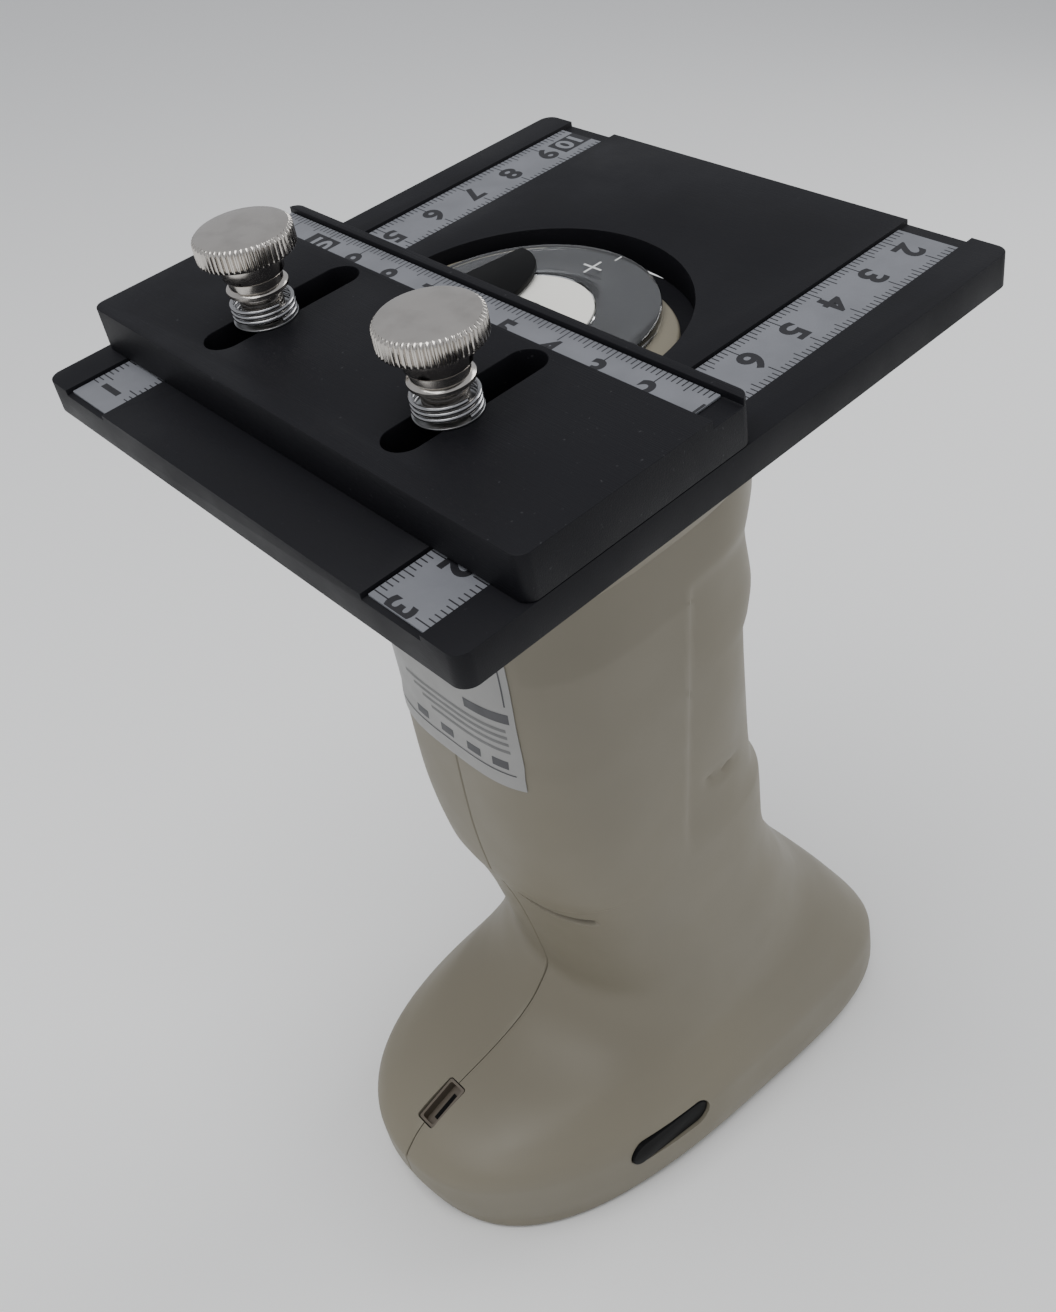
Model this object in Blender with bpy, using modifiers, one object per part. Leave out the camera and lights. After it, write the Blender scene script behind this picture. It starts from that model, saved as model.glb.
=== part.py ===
"""Hand-held colorimeter standing on its display head, with a sample stage on its measuring nose.

Everything is drawn in the stage's own axes, in millimetres: x across the plate, y away from the
user, z out of the plate's top face. One empty tilts the whole object so that the display face,
which is not parallel to the plate, lies on the table.
"""
import math

import bmesh
import bpy
from mathutils import Matrix, Vector

MM = 0.001
GAP = 0.15  # between pieces that touch

# Pose of the object on the table
TILT = math.radians(11.5)  # plate against the display face
FACE_DEPTH = 195.5  # plate top to display face, below the plate's near edge
CENTRE_Y = 80.687  # moves the footprint's centre onto the origin

# Stage plate
PLATE_W = 110.0
PLATE_L = 120.0
PLATE_T = 6.0
CORNER_R = 2.6
MID_X = PLATE_W / 2
PORT_Y = 61.0
OPENING_R = 29.3
GROOVE_W = 12.5
GROOVE_D = 1.0
GROOVE_X = (13.25, 96.25)
SCALE_W = 12.0
SCALE_T = 0.4

# Fence that slides over the plate
FENCE_Y = (12.0, 56.0)
FENCE_T = 8.0
FENCE_Z = 0.1
LIP_W = 1.7
FENCE_GROOVE_W = 6.4
FENCE_GROOVE_D = 1.3
SLOT_X = (30.5, 77.3)
SLOT_Y = (16.5, 46.8)
SLOT_W = 6.8
SCREW_Y = 28.3

# Thumb screws, heights above the plate top
SHANK_R = 2.9
HEAD_R = 8.2
HEAD_Z = (19.9, 24.1)
COLLAR_R = 5.1
WASHER_R = 5.4
SPRING_R = 5.0
WIRE_R = 0.36

# Measuring nose
NECK_HALF = (28.4, 21.5)
NOSE_JOINT = 37.0
DISC_R = 23.8
APERTURE_R = 12.6
PORT_R = 4.0
SPHERE_R = 17.6

# Housing
WALL = 2.4
POINTS = 44
LEAN_Y = 50.0  # the sections lean towards the display face about this line
# depth, front, back, half width, widest at y, front squareness, back squareness, lean
STATIONS = [
    (37.3, 27.0, 96.0, 28.6, 60, 3.0, 3.1, 0.0),  # joint under the nose
    (44.0, 27.8, 94.0, 28.4, 60, 3.0, 3.3, 0.0),
    (54.0, 28.2, 93.2, 28.2, 60, 3.1, 3.5, 0.0),  # shoulder
    (72.0, 28.0, 92.6, 28.0, 60, 3.2, 3.5, 0.0),
    (77.0, 27.7, 91.0, 27.9, 60, 3.3, 3.4, 0.0),  # start of the button's flat
    (96.0, 27.3, 90.8, 27.6, 60, 3.3, 3.3, 0.0),
    (116.0, 28.6, 91.2, 27.3, 60, 3.0, 3.2, 0.0),
    (121.0, 30.0, 93.2, 27.3, 60, 2.8, 3.3, 0.0),  # step behind the finger
    (136.0, 33.8, 93.4, 27.2, 60, 2.4, 3.2, 0.0),  # waist
    (148.0, 35.8, 95.8, 27.8, 61, 2.2, 2.9, 0.02),
    (158.0, 36.8, 100.3, 28.9, 62, 2.1, 2.7, 0.08),
    (165.0, 32.0, 104.0, 29.6, 62, 2.1, 2.6, 0.14),  # instep
    (169.0, 26.0, 106.3, 30.0, 62, 2.1, 2.6, 0.20),
    (172.0, 17.0, 108.3, 30.4, 61, 2.1, 2.8, 0.28),
    (174.5, 6.0, 110.4, 30.9, 60, 2.2, 3.2, 0.36),
    (178.0, -3.1, 113.6, 32.5, 59, 2.3, 3.7, 0.46),
    (183.0, -8.0, 117.6, 35.0, 58, 2.5, 4.2, 0.60),
    (189.0, -10.4, 121.5, 37.2, 58, 2.3, 4.6, 0.80),  # rim of the head
    (196.0, -10.4, 121.8, 37.3, 58, 2.3, 4.6, 0.95),
    (202.0, -9.4, 120.6, 36.5, 58, 2.4, 4.5, 1.0),
    (204.6, -8.2, 117.6, 35.0, 58, 2.7, 4.3, 1.0),
    (FACE_DEPTH + LEAN_Y * math.tan(TILT), -5.8, 115.0, 33.2, 58, 3.0, 4.1, 1.0),  # display face
]

# Controls and display
BUTTON_H = (78.0, 115.0)
BUTTON_W = 19.0
BUTTON_T = 4.0
POWER_AT = (36.0, 187.4)
POWER_SIZE = (22.0, 6.6)
PORT_AT = (1.6, 172.2)
PORT_SIZE = (10.4, 4.6)
PORT_LEAN = math.radians(14)
SHELL_SCREWS = ((40.0, 60.0), (80.0, 131.0), (98.0, 190.0), (13.0, 184.0))
BOSS_R = 3.4
WINDOW_V = 31.0
WINDOW_SIZE = (44.0, 58.0)
KEY_V = -20.0
KEY_R = 4.2
KEY_PITCH = 12.0


def clear_scene():
    """Removes everything the startup file holds."""
    for item in list(bpy.data.objects):
        bpy.data.objects.remove(item, do_unlink=True)


def collection(name, hidden=False):
    """A new collection under the scene's own."""
    made = bpy.data.collections.new(name)
    made.hide_render = hidden
    bpy.context.scene.collection.children.link(made)
    return made


def paint(name, colour, roughness=0.5, metallic=0.0, transmission=0.0):
    """A Principled material."""
    made = bpy.data.materials.new(name)
    made.use_nodes = True
    shader = made.node_tree.nodes["Principled BSDF"]
    shader.inputs["Base Color"].default_value = (*colour, 1.0)
    shader.inputs["Roughness"].default_value = roughness
    shader.inputs["Metallic"].default_value = metallic
    shader.inputs["Transmission Weight"].default_value = transmission
    made.diffuse_color = (*colour, 1.0)
    return made


def place(name, mesh, frame, at, material, helper=False):
    """Puts a mesh, drawn round its own origin in mm, at a point of a frame."""
    item = bpy.data.objects.new(name, mesh)
    mesh.transform(Matrix.Scale(MM, 4))
    item.parent = frame
    item.location = Vector(at) * MM
    if helper:
        item.hide_render = True
        item.display_type = "WIRE"
        HELPERS.objects.link(item)
        return item
    OBJECT.objects.link(item)
    if material:
        mesh.materials.append(material)
    return item


def finish(name, shape):
    """Turns a bmesh into a mesh with its faces outward."""
    bmesh.ops.recalc_face_normals(shape, faces=shape.faces)
    mesh = bpy.data.meshes.new(name)
    shape.to_mesh(mesh)
    shape.free()
    return mesh


def block_mesh(name, size, corner=0.0, edge=0.0, segments=5):
    """A box centred on its origin, its upright edges rounded and its rims eased."""
    shape = bmesh.new()
    bmesh.ops.create_cube(shape, size=1.0)
    bmesh.ops.scale(shape, vec=size, verts=shape.verts)
    if corner:
        upright = [e for e in shape.edges if abs(e.verts[0].co.z - e.verts[1].co.z) > 1e-6]
        bmesh.ops.bevel(
            shape, geom=upright, offset=corner, segments=segments, affect="EDGES", profile=0.5
        )
    if edge:
        top = size[2] / 2 - 1e-6
        rims = [e for e in shape.edges if all(abs(v.co.z) > top for v in e.verts)]
        bmesh.ops.bevel(shape, geom=rims, offset=edge, segments=1, affect="EDGES", profile=0.5)
    return finish(name, shape)


def rod_mesh(name, radius, length, sides=32, axis="Z"):
    """A cylinder centred on its origin, along one axis."""
    shape = bmesh.new()
    bmesh.ops.create_cone(
        shape, cap_ends=True, segments=sides, radius1=radius, radius2=radius, depth=length
    )
    if axis == "X":
        bmesh.ops.rotate(shape, verts=shape.verts, matrix=Matrix.Rotation(math.pi / 2, 3, "Y"))
    if axis == "Y":
        bmesh.ops.rotate(shape, verts=shape.verts, matrix=Matrix.Rotation(math.pi / 2, 3, "X"))
    return finish(name, shape)


def block(name, size, at, material, frame=None, corner=0.0, edge=0.0, segments=5, helper=False):
    """A box as an object."""
    mesh = block_mesh(name, size, corner, edge, segments)
    return place(name, mesh, frame or STAGE, at, material, helper)


def rod(name, radius, length, at, material, frame=None, sides=32, axis="Z", helper=False):
    """A cylinder as an object."""
    mesh = rod_mesh(name, radius, length, sides, axis)
    return place(name, mesh, frame or STAGE, at, material, helper)


def turned(name, profile, at, material, frame=None, sides=40):
    """A lathe shape from (radius, height) points that run from the top down."""
    shape = bmesh.new()
    points = [shape.verts.new((r, 0.0, z)) for r, z in profile]
    closed = profile[0][0] > 0 and profile[-1][0] > 0
    ends = points[1:] + ([points[0]] if closed else [])
    for a, b in zip(points, ends):
        shape.edges.new((a, b))
    mesh = bpy.data.meshes.new(name)
    shape.to_mesh(mesh)
    shape.free()
    item = place(name, mesh, frame or STAGE, at, material)
    spin = item.modifiers.new("Spin", "SCREW")
    spin.axis = "Z"
    spin.angle = 2 * math.pi
    spin.steps = sides
    spin.render_steps = sides
    spin.use_merge_vertices = True
    spin.merge_threshold = 0.00001
    return item


def cut(item, tool, operation="DIFFERENCE"):
    """Adds a Boolean with a helper."""
    made = item.modifiers.new("Cut", "BOOLEAN")
    made.operation = operation
    made.solver = "EXACT"
    made.object = tool


def power(value, exponent):
    """A signed power, for rounded outlines."""
    return math.copysign(abs(value) ** exponent, value)


def outline(station, inset=0.0, count=POINTS):
    """One ring of the housing, each point in stage axes."""
    depth, front, back, half, widest, front_n, back_n, lean = station
    ring = []
    for k in range(count):
        angle = 2 * math.pi * k / count
        c = math.cos(angle)
        s = math.sin(angle)
        n = front_n if s < 0 else back_n
        reach = widest - front if s < 0 else back - widest
        x = MID_X + (half - inset) * power(c, 2 / n)
        y = widest + (reach - inset) * power(s, 2 / n)
        ring.append(Vector((x, y, -depth - lean * math.tan(TILT) * (y - LEAN_Y))))
    return ring


def loft_mesh(name, rings):
    """Skins a stack of rings and caps both ends."""
    shape = bmesh.new()
    rows = [[shape.verts.new(p) for p in ring] for ring in rings]
    for upper, lower in zip(rows, rows[1:]):
        for k in range(len(upper)):
            n = (k + 1) % len(upper)
            shape.faces.new((upper[k], lower[k], lower[n], upper[n]))
    shape.faces.new(rows[0])
    shape.faces.new(list(reversed(rows[-1])))
    return finish(name, shape)


def station_at(depth):
    """The housing's section at a depth, between the two nearest stations."""
    for upper, lower in zip(STATIONS, STATIONS[1:]):
        if upper[0] <= depth <= lower[0]:
            t = (depth - upper[0]) / (lower[0] - upper[0])
            return tuple(a + (b - a) * t for a, b in zip(upper, lower))
    return STATIONS[-1]


def moved(station, depth):
    """The same section at another depth."""
    return (depth, *station[1:])


# ---------------------------------------------------------------- stage plate


def screw_tool(name, x, y, z, radius, length):
    """A cutter for a round hole along z."""
    return rod(name, radius, length, (x, y, z), None, helper=True)


def make_plate(black):
    """Anodised base plate: two scale grooves, the port opening and two tapped holes."""
    at = (MID_X, PLATE_L / 2, -PLATE_T / 2)
    plate = block("stage_plate", (PLATE_W, PLATE_L, PLATE_T), at, black, corner=CORNER_R, edge=0.3)
    for k, x in enumerate(GROOVE_X):
        tool = block(
            f"tool_groove_{k}",
            (GROOVE_W, PLATE_L + 10, 2 * GROOVE_D),
            (x, PLATE_L / 2, 0),
            None,
            helper=True,
        )
        cut(plate, tool)
    opening = rod(
        "tool_opening", OPENING_R, 20, (MID_X, PORT_Y, -3), None, sides=72, helper=True
    )
    cut(plate, opening)
    for k, x in enumerate(SLOT_X):
        cut(plate, screw_tool(f"tool_tapped_{k}", x, SCREW_Y, -3, SHANK_R + 0.1, 20))
    for k, (x, y) in enumerate(collar_holes()):
        cut(plate, screw_tool(f"tool_blind_{k}", x, y, -PLATE_T, 1.35, 7))
    return plate


def collar_holes():
    """The four screw positions round the nose, in stage x and y."""
    spots = []
    for sx in (-1, 1):
        for sy in (-1, 1):
            spots.append((MID_X + sx * 27.0, PORT_Y + sy * 24.0))
    return spots


def make_scale(name, x, material):
    """One stick-on steel rule lying in a plate groove."""
    length = PLATE_L - 4.0
    at = (x, 1.0 + length / 2, -GROOVE_D + 0.05 + SCALE_T / 2)
    return block(name, (SCALE_W, length, SCALE_T), at, material)


# ---------------------------------------------------------------- fence


def make_fence(black):
    """Sliding fence: two slots, a groove for its rule and a thin front lip."""
    depth = FENCE_Y[1] - FENCE_Y[0]
    mid = (FENCE_Y[0] + FENCE_Y[1]) / 2
    at = (MID_X, mid, FENCE_Z + FENCE_T / 2)
    fence = block("fence_plate", (PLATE_W, depth, FENCE_T), at, black, corner=2.2, edge=0.3)
    slot_mid = (SLOT_Y[0] + SLOT_Y[1]) / 2
    slot = (SLOT_W, SLOT_Y[1] - SLOT_Y[0], 20)
    for k, x in enumerate(SLOT_X):
        tool = block(
            f"tool_slot_{k}",
            slot,
            (x, slot_mid, 4),
            None,
            corner=SLOT_W / 2 - 0.01,
            segments=8,
            helper=True,
        )
        cut(fence, tool)
    groove_y = FENCE_Y[1] - LIP_W - FENCE_GROOVE_W / 2
    groove = block(
        "tool_fence_groove",
        (PLATE_W + 10, FENCE_GROOVE_W, 2 * FENCE_GROOVE_D),
        (MID_X, groove_y, FENCE_Z + FENCE_T),
        None,
        helper=True,
    )
    cut(fence, groove)
    pocket = block(
        "tool_tab_pocket",
        (14.4, 10, 3.0),
        (42.5, FENCE_Y[1], FENCE_Z),
        None,
        helper=True,
    )
    cut(fence, pocket)
    return fence


def make_fence_scale(material):
    """The fence's own steel rule."""
    y = FENCE_Y[1] - LIP_W - FENCE_GROOVE_W / 2
    z = FENCE_Z + FENCE_T - FENCE_GROOVE_D + 0.05 + SCALE_T / 2
    return block("fence_scale", (105.0, 6.0, SCALE_T), (53.5, y, z), material)


def make_fence_tab(material):
    """Thin black tongue under the fence that covers the port's left side."""
    shape = bmesh.new()
    right = [(49.4, 51.3), (49.4, 65.0)]
    arc = []
    for k in range(7):
        angle = math.radians(90 * k / 6)
        arc.append((40.9 + 8.5 * math.cos(angle), 67.3 + 8.5 * math.sin(angle)))
    left = [(37.2, 75.2), (35.8, 72.8), (35.6, 51.3)]
    ring = right[:1] + arc + left
    low = [shape.verts.new((x - MID_X, y - PORT_Y, 0.0)) for x, y in ring]
    high = [shape.verts.new((x - MID_X, y - PORT_Y, 1.1)) for x, y in ring]
    for k in range(len(ring)):
        n = (k + 1) % len(ring)
        shape.faces.new((low[k], low[n], high[n], high[k]))
    shape.faces.new(list(reversed(low)))
    shape.faces.new(high)
    mesh = finish("fence_tab", shape)
    return place("fence_tab", mesh, STAGE, (MID_X, PORT_Y, 0.35), material)


# ---------------------------------------------------------------- thumb screws


def make_thumb_screw(name, x, material):
    """Knurled head, stepped collar and a shank that runs through the slot into the plate."""
    low, high = HEAD_Z
    profile = [
        (0.0, high),
        (HEAD_R - 0.7, high),
        (HEAD_R, high - 0.6),
        (HEAD_R, low + 0.3),
        (HEAD_R - 0.4, low),
        (COLLAR_R - 0.5, low),
        (COLLAR_R, low - 0.8),
        (COLLAR_R, low - 3.6),
        (COLLAR_R - 0.6, low - 4.0),
        (COLLAR_R - 0.6, low - 5.4),
        (COLLAR_R, low - 5.7),
        (COLLAR_R, low - 6.5),
        (3.6, low - 6.6),
        (3.6, 9.3),
        (SHANK_R, 8.9),
        (SHANK_R, -5.2),
        (2.3, -5.8),
        (0.0, -5.8),
    ]
    return turned(name, profile, (x, SCREW_Y, 0), material, sides=48)


def make_washer(name, x, material):
    """Flat washer on the fence."""
    z = FENCE_Z + FENCE_T
    profile = [(WASHER_R, 0.35), (WASHER_R, 0.05), (3.75, 0.05), (3.75, 0.35)]
    return turned(name, profile, (x, SCREW_Y, z), material, sides=36)


def make_spring(name, at, radius, wire, turns, pitch, material, axis="Z"):
    """A coil spring as a swept round wire."""
    steps = 20
    sides = 6
    shape = bmesh.new()
    rows = []
    total = int(turns * steps)
    for k in range(total + 1):
        angle = 2 * math.pi * k / steps
        out = Vector((math.cos(angle), math.sin(angle), 0))
        centre = out * radius + Vector((0, 0, pitch * k / steps))
        row = []
        for j in range(sides):
            turn = 2 * math.pi * j / sides
            offset = out * math.cos(turn) * wire + Vector((0, 0, math.sin(turn) * wire))
            row.append(shape.verts.new(centre + offset))
        rows.append(row)
    for a, b in zip(rows, rows[1:]):
        for j in range(sides):
            n = (j + 1) % sides
            shape.faces.new((a[j], a[n], b[n], b[j]))
    shape.faces.new(rows[0])
    shape.faces.new(list(reversed(rows[-1])))
    if axis == "Y":
        bmesh.ops.rotate(shape, verts=shape.verts, matrix=Matrix.Rotation(-math.pi / 2, 3, "X"))
    return place(name, finish(name, shape), STAGE, at, material)


# ---------------------------------------------------------------- nose


def make_collar(black):
    """Mounting collar under the plate that grips the nose's neck."""
    z = -PLATE_T - GAP - 2.5
    collar = block("mount_collar", (66, 58, 5.0), (MID_X, PORT_Y, z), black, corner=10)
    tool = neck_tool("tool_collar_bore", 0.15, z - 8, z + 8)
    cut(collar, tool)
    for k, (x, y) in enumerate(collar_holes()):
        cut(collar, screw_tool(f"tool_collar_hole_{k}", x, y, z, 1.6, 12))
        cut(collar, screw_tool(f"tool_collar_sink_{k}", x, y, z - 2.5, 2.9, 3.6))
    return collar


def neck_ring(grow, z):
    """The neck's rounded outline at a height."""
    ring = []
    for k in range(POINTS):
        angle = 2 * math.pi * k / POINTS
        x = MID_X + (NECK_HALF[0] + grow) * power(math.cos(angle), 2 / 2.3)
        y = PORT_Y + (NECK_HALF[1] + grow) * power(math.sin(angle), 2 / 2.3)
        ring.append(Vector((x, y, z)))
    return ring


def neck_tool(name, grow, low, high):
    """A cutter with the neck's outline."""
    mesh = loft_mesh(name, [neck_ring(grow, high), neck_ring(grow, low)])
    return place(name, mesh, STAGE, (0, 0, 0), None, helper=True)


def make_collar_screw(name, x, y, material):
    """Small cap screw from below the collar into the plate."""
    top = -2.9
    head = -PLATE_T - GAP - 5.0
    profile = [
        (0.0, top),
        (1.25, top),
        (1.25, head + 1.7),
        (2.7, head + 1.7),
        (2.7, head + 0.2),
        (1.2, head + 0.2),
        (1.2, head + 1.1),
        (0.0, head + 1.1),
    ]
    return turned(name, profile, (x, y, 0), material, sides=16)


def nose_rings(inset, top, bottom):
    """The nose's rings: straight neck, flare, then a skirt down to the housing."""
    flare = [
        (12.4, 32.0, 27.0, 95.0),
        (16.0, 34.0, 24.5, 98.0),
        (26.0, 33.6, 24.5, 99.0),
        (33.0, 31.4, 25.6, 98.2),
    ]
    rings = [neck_ring(-inset, -top), neck_ring(-inset, -12.0 - inset * 0.6)]
    for depth, half, front, back in flare:
        rings.append(outline((depth + inset * 0.6, front, back, half, 60, 2.9, 3.0, 0), inset))
    last = moved(STATIONS[0], bottom)
    rings.append(outline((last[0], last[1] - 0.5, last[2] + 0.5, last[3] + 0.5, *last[4:]), inset))
    return rings


def make_nose(cream):
    """Nose cover: the neck that fills the plate's opening and the flared skirt below it."""
    nose = place(
        "nose_cover", loft_mesh("nose_cover", nose_rings(0, 2.3, NOSE_JOINT - 0.1)), STAGE,
        (0, 0, 0), cream,
    )
    hollow = loft_mesh("tool_nose_hollow", nose_rings(WALL, 4.6, NOSE_JOINT + 4))
    cut(nose, place("tool_nose_hollow", hollow, STAGE, (0, 0, 0), None, helper=True))
    cut(nose, rod("tool_nose_port", APERTURE_R + 0.2, 12, (MID_X, PORT_Y, -3), None, helper=True))
    return nose


def make_target_ring(clear):
    """Clear ring round the aperture, level with the plate."""
    profile = [
        (DISC_R - 0.3, -0.15),
        (DISC_R, -0.45),
        (DISC_R, -2.15),
        (APERTURE_R + 0.15, -2.15),
        (APERTURE_R + 0.15, -0.15),
    ]
    return turned("target_ring", profile, (MID_X, PORT_Y, 0), clear, sides=64)


def make_aperture(white):
    """White port disc with the measuring aperture in its centre."""
    profile = [
        (APERTURE_R - 0.2, -0.1),
        (APERTURE_R, -0.3),
        (APERTURE_R, -4.0),
        (PORT_R + 1.6, -4.0),
        (PORT_R, -1.2),
        (PORT_R, -0.1),
    ]
    return turned("aperture_disc", profile, (MID_X, PORT_Y, 0), white, sides=48)


def dome(radius, start, stop, count=7):
    """Points of a quarter circle from one angle to another, from the top down."""
    points = []
    for k in range(count):
        angle = math.radians(start + (stop - start) * k / (count - 1))
        points.append((radius * math.cos(angle), radius * math.sin(angle)))
    return points


def make_sphere_half(name, upward, material):
    """Half of the white integrating sphere, open at its pole."""
    outer = dome(SPHERE_R, 70, 0)
    inner = dome(SPHERE_R - 1.8, 0, 68)
    rim = [(SPHERE_R, 0.1), (SPHERE_R - 1.8, 0.1)]
    points = [p for p in outer if p[1] > 0.2] + rim + [p for p in inner if p[1] > 0.2]
    if not upward:
        points = [(r, -z) for r, z in reversed(points)]
    item = turned(name, points, (MID_X, PORT_Y, -22.2), material, sides=32)
    return item


def make_led_board(green):
    """Round board with the lamps, under the sphere."""
    board = rod("lamp_board", 15.0, 1.6, (MID_X, PORT_Y, -42.0), green, sides=32)
    cut(board, rod("tool_lamp_bore", 4.4, 8, (MID_X, PORT_Y, -42), None, sides=24, helper=True))
    lamps = bmesh.new()
    for k in range(6):
        spin = Matrix.Rotation(math.radians(60 * k), 4, "Z")
        lift = Matrix.Translation((9.0, 0, 1.0))
        bmesh.ops.create_cube(lamps, size=1.0, matrix=spin @ lift @ Matrix.Diagonal((2.2, 2.2, 1.6, 1)))
    tool = place("tool_lamps", finish("tool_lamps", lamps), STAGE, (MID_X, PORT_Y, -42), None, True)
    cut(board, tool, "UNION")
    return board


def make_optics(dark):
    """Sensor barrel that looks up through the board into the sphere."""
    profile = [
        (4.0, -39.4),
        (4.0, -45.0),
        (6.5, -46.0),
        (6.5, -56.0),
        (0.0, -56.0),
        (0.0, -53.0),
        (2.6, -53.0),
        (2.6, -39.4),
    ]
    return turned("sensor_barrel", profile, (MID_X, PORT_Y, 0), dark, sides=28)


# ---------------------------------------------------------------- housing


def hollow_rings():
    """The housing's inside: wall thickness in, and down under the sloping instep."""
    first = moved(STATIONS[0], STATIONS[0][0] - 6)
    rings = [outline(first, WALL)]
    for station in STATIONS[1:-3]:
        lean = station[7]
        drop = WALL * min(1.0, lean * 8) * (1.0 - 0.6 * lean)
        rings.append(outline(moved(station, station[0] + drop), WALL))
    face = STATIONS[-1]
    rings.append(outline(moved(face, face[0] - 4.2), 2.0))
    rings.append(outline(moved(face, face[0] + 8.0), 2.0))
    return rings


def boss_reach(y):
    """How far a screw boss runs from the seam to stay inside the wall."""
    if y > 90:
        return 30.0
    return 22.4 if y > 30 else 27.4


def half_tool(name, side):
    """A cutter that removes the other half of the housing."""
    width = 120.0
    x = MID_X - side * (width / 2 - 0.08)
    return block(name, (width, 260, 300), (x, 55, -130), None, helper=True)


def make_shell(name, side, cream):
    """One half of the housing, hollow, with its screw bosses. side is +1 towards +x."""
    mesh = loft_mesh(name, [outline(station) for station in STATIONS])
    shell = place(name, mesh, STAGE, (0, 0, 0), cream)
    inside = loft_mesh(f"tool_{name}_inside", hollow_rings())
    cut(shell, place(f"tool_{name}_inside", inside, STAGE, (0, 0, 0), None, helper=True))
    for k, (y, depth) in enumerate(SHELL_SCREWS):
        reach = boss_reach(y)
        at = (MID_X + side * reach / 2, y, -depth)
        radius = BOSS_R + (0.8 if side < 0 else 0.0)
        boss = rod(f"tool_{name}_boss_{k}", radius, reach, at, None, axis="X", sides=20, helper=True)
        cut(shell, boss, "UNION")
    cut(shell, half_tool(f"tool_{name}_half", side))
    for k, (y, depth) in enumerate(SHELL_SCREWS):
        drill_shell(shell, side, k, y, depth)
    cut_openings(shell, name, side)
    return shell


def drill_shell(shell, side, k, y, depth):
    """Pilot holes on one side, clearance holes with sunk heads on the other."""
    if side > 0:
        at = (MID_X + 6.0, y, -depth)
        cut(shell, rod(f"tool_pilot_{k}", 1.35, 13, at, None, axis="X", sides=16, helper=True))
        return
    seat = screw_seat(y)
    reach = MID_X - seat + 4.0
    at = (seat + reach / 2 - 1.0, y, -depth)
    cut(shell, rod(f"tool_clear_{k}", 1.6, reach, at, None, axis="X", sides=16, helper=True))
    at = (seat - 15, y, -depth)
    cut(shell, rod(f"tool_sink_{k}", 2.9, 30, at, None, axis="X", sides=20, helper=True))


def screw_seat(y):
    """Where a housing screw's head rests, in stage x."""
    return MID_X - boss_reach(y) + 5.5


def cut_openings(shell, name, side):
    """Button, port and switch openings."""
    low, high = BUTTON_H
    size = (BUTTON_W, 24, high - low)
    at = (MID_X, 93, -(low + high) / 2)
    cut(shell, block(f"tool_{name}_button", size, at, None, helper=True))
    tool = socket_block(f"tool_{name}_port", 0.25, 16.0, 0.0, None, helper=True)
    cut(shell, tool)
    if side > 0:
        tool = place(
            "tool_power", oval_mesh("tool_power", POWER_SIZE, 0.25, 20), STAGE, power_at(), None, True
        )
        cut(shell, tool)


def socket_block(name, grow, depth, lift, material, helper=False):
    """A block along the instep's slope at the socket."""
    mesh = block_mesh(name, (PORT_SIZE[1] + 2 * grow, PORT_SIZE[0] + 2 * grow, depth))
    mesh.transform(Matrix.Rotation(PORT_LEAN, 4, "X"))
    return place(name, mesh, STAGE, port_point(lift), material, helper)


def port_point(lift):
    """A point on the socket's own axis, above the instep by lift."""
    y = PORT_AT[0] - lift * math.sin(PORT_LEAN)
    return (MID_X, y, -PORT_AT[1] + lift * math.cos(PORT_LEAN))


def oval_mesh(name, size, grow, thick):
    """A flat oval that faces +x and follows the head's side."""
    length, width = size
    mesh = block_mesh(
        name,
        (width + 2 * grow, length + 2 * grow, thick),
        corner=width / 2 + grow - 0.01,
        segments=8,
    )
    mesh.transform(Matrix.Rotation(math.pi / 2, 4, "Y"))
    mesh.transform(Matrix.Rotation(math.radians(-4.4), 4, "Z") @ Matrix.Rotation(math.radians(-9), 4, "X"))
    return mesh


def power_at():
    """Centre of the power button."""
    return (MID_X + 34.4, POWER_AT[0], -POWER_AT[1])


def make_shell_screw(name, y, depth, material):
    """A housing screw along x, its head towards -x."""
    seat = screw_seat(y)
    back = seat - 0.6
    tip = MID_X + 9.0
    shank = rod(name, 1.25, tip - back, ((back + tip) / 2, y, -depth), material, axis="X", sides=12)
    at = (seat - 1.2, y, -depth)
    cut(shank, rod(f"tool_{name}", 2.6, 2.0, at, None, axis="X", sides=16, helper=True), "UNION")
    return shank


def make_label(material):
    """Sticker that follows the front of the grip."""
    depths = (41.0, 44.0, 54.0, 72.0, 77.0, 80.0)
    middle_point = POINTS * 3 // 4
    picks = range(middle_point - 4, middle_point + 5)
    shape = bmesh.new()
    layers = []
    for inset in (-0.06, -0.28):
        grid = []
        for depth in depths:
            ring = outline(station_at(depth), inset)
            grid.append([shape.verts.new(ring[k]) for k in picks])
        layers.append(grid)
    inner, outer = layers
    rows = len(depths)
    cols = len(picks)
    for grid in layers:
        for a in range(rows - 1):
            for b in range(cols - 1):
                shape.faces.new((grid[a][b], grid[a][b + 1], grid[a + 1][b + 1], grid[a + 1][b]))
    for a in range(rows - 1):
        for b in (0, cols - 1):
            shape.faces.new((inner[a][b], inner[a + 1][b], outer[a + 1][b], outer[a][b]))
    for b in range(cols - 1):
        for a in (0, rows - 1):
            shape.faces.new((inner[a][b], inner[a][b + 1], outer[a][b + 1], outer[a][b]))
    return place("rating_label", finish("rating_label", shape), STAGE, (0, 0, 0), material)


# ---------------------------------------------------------------- controls and electronics


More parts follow.
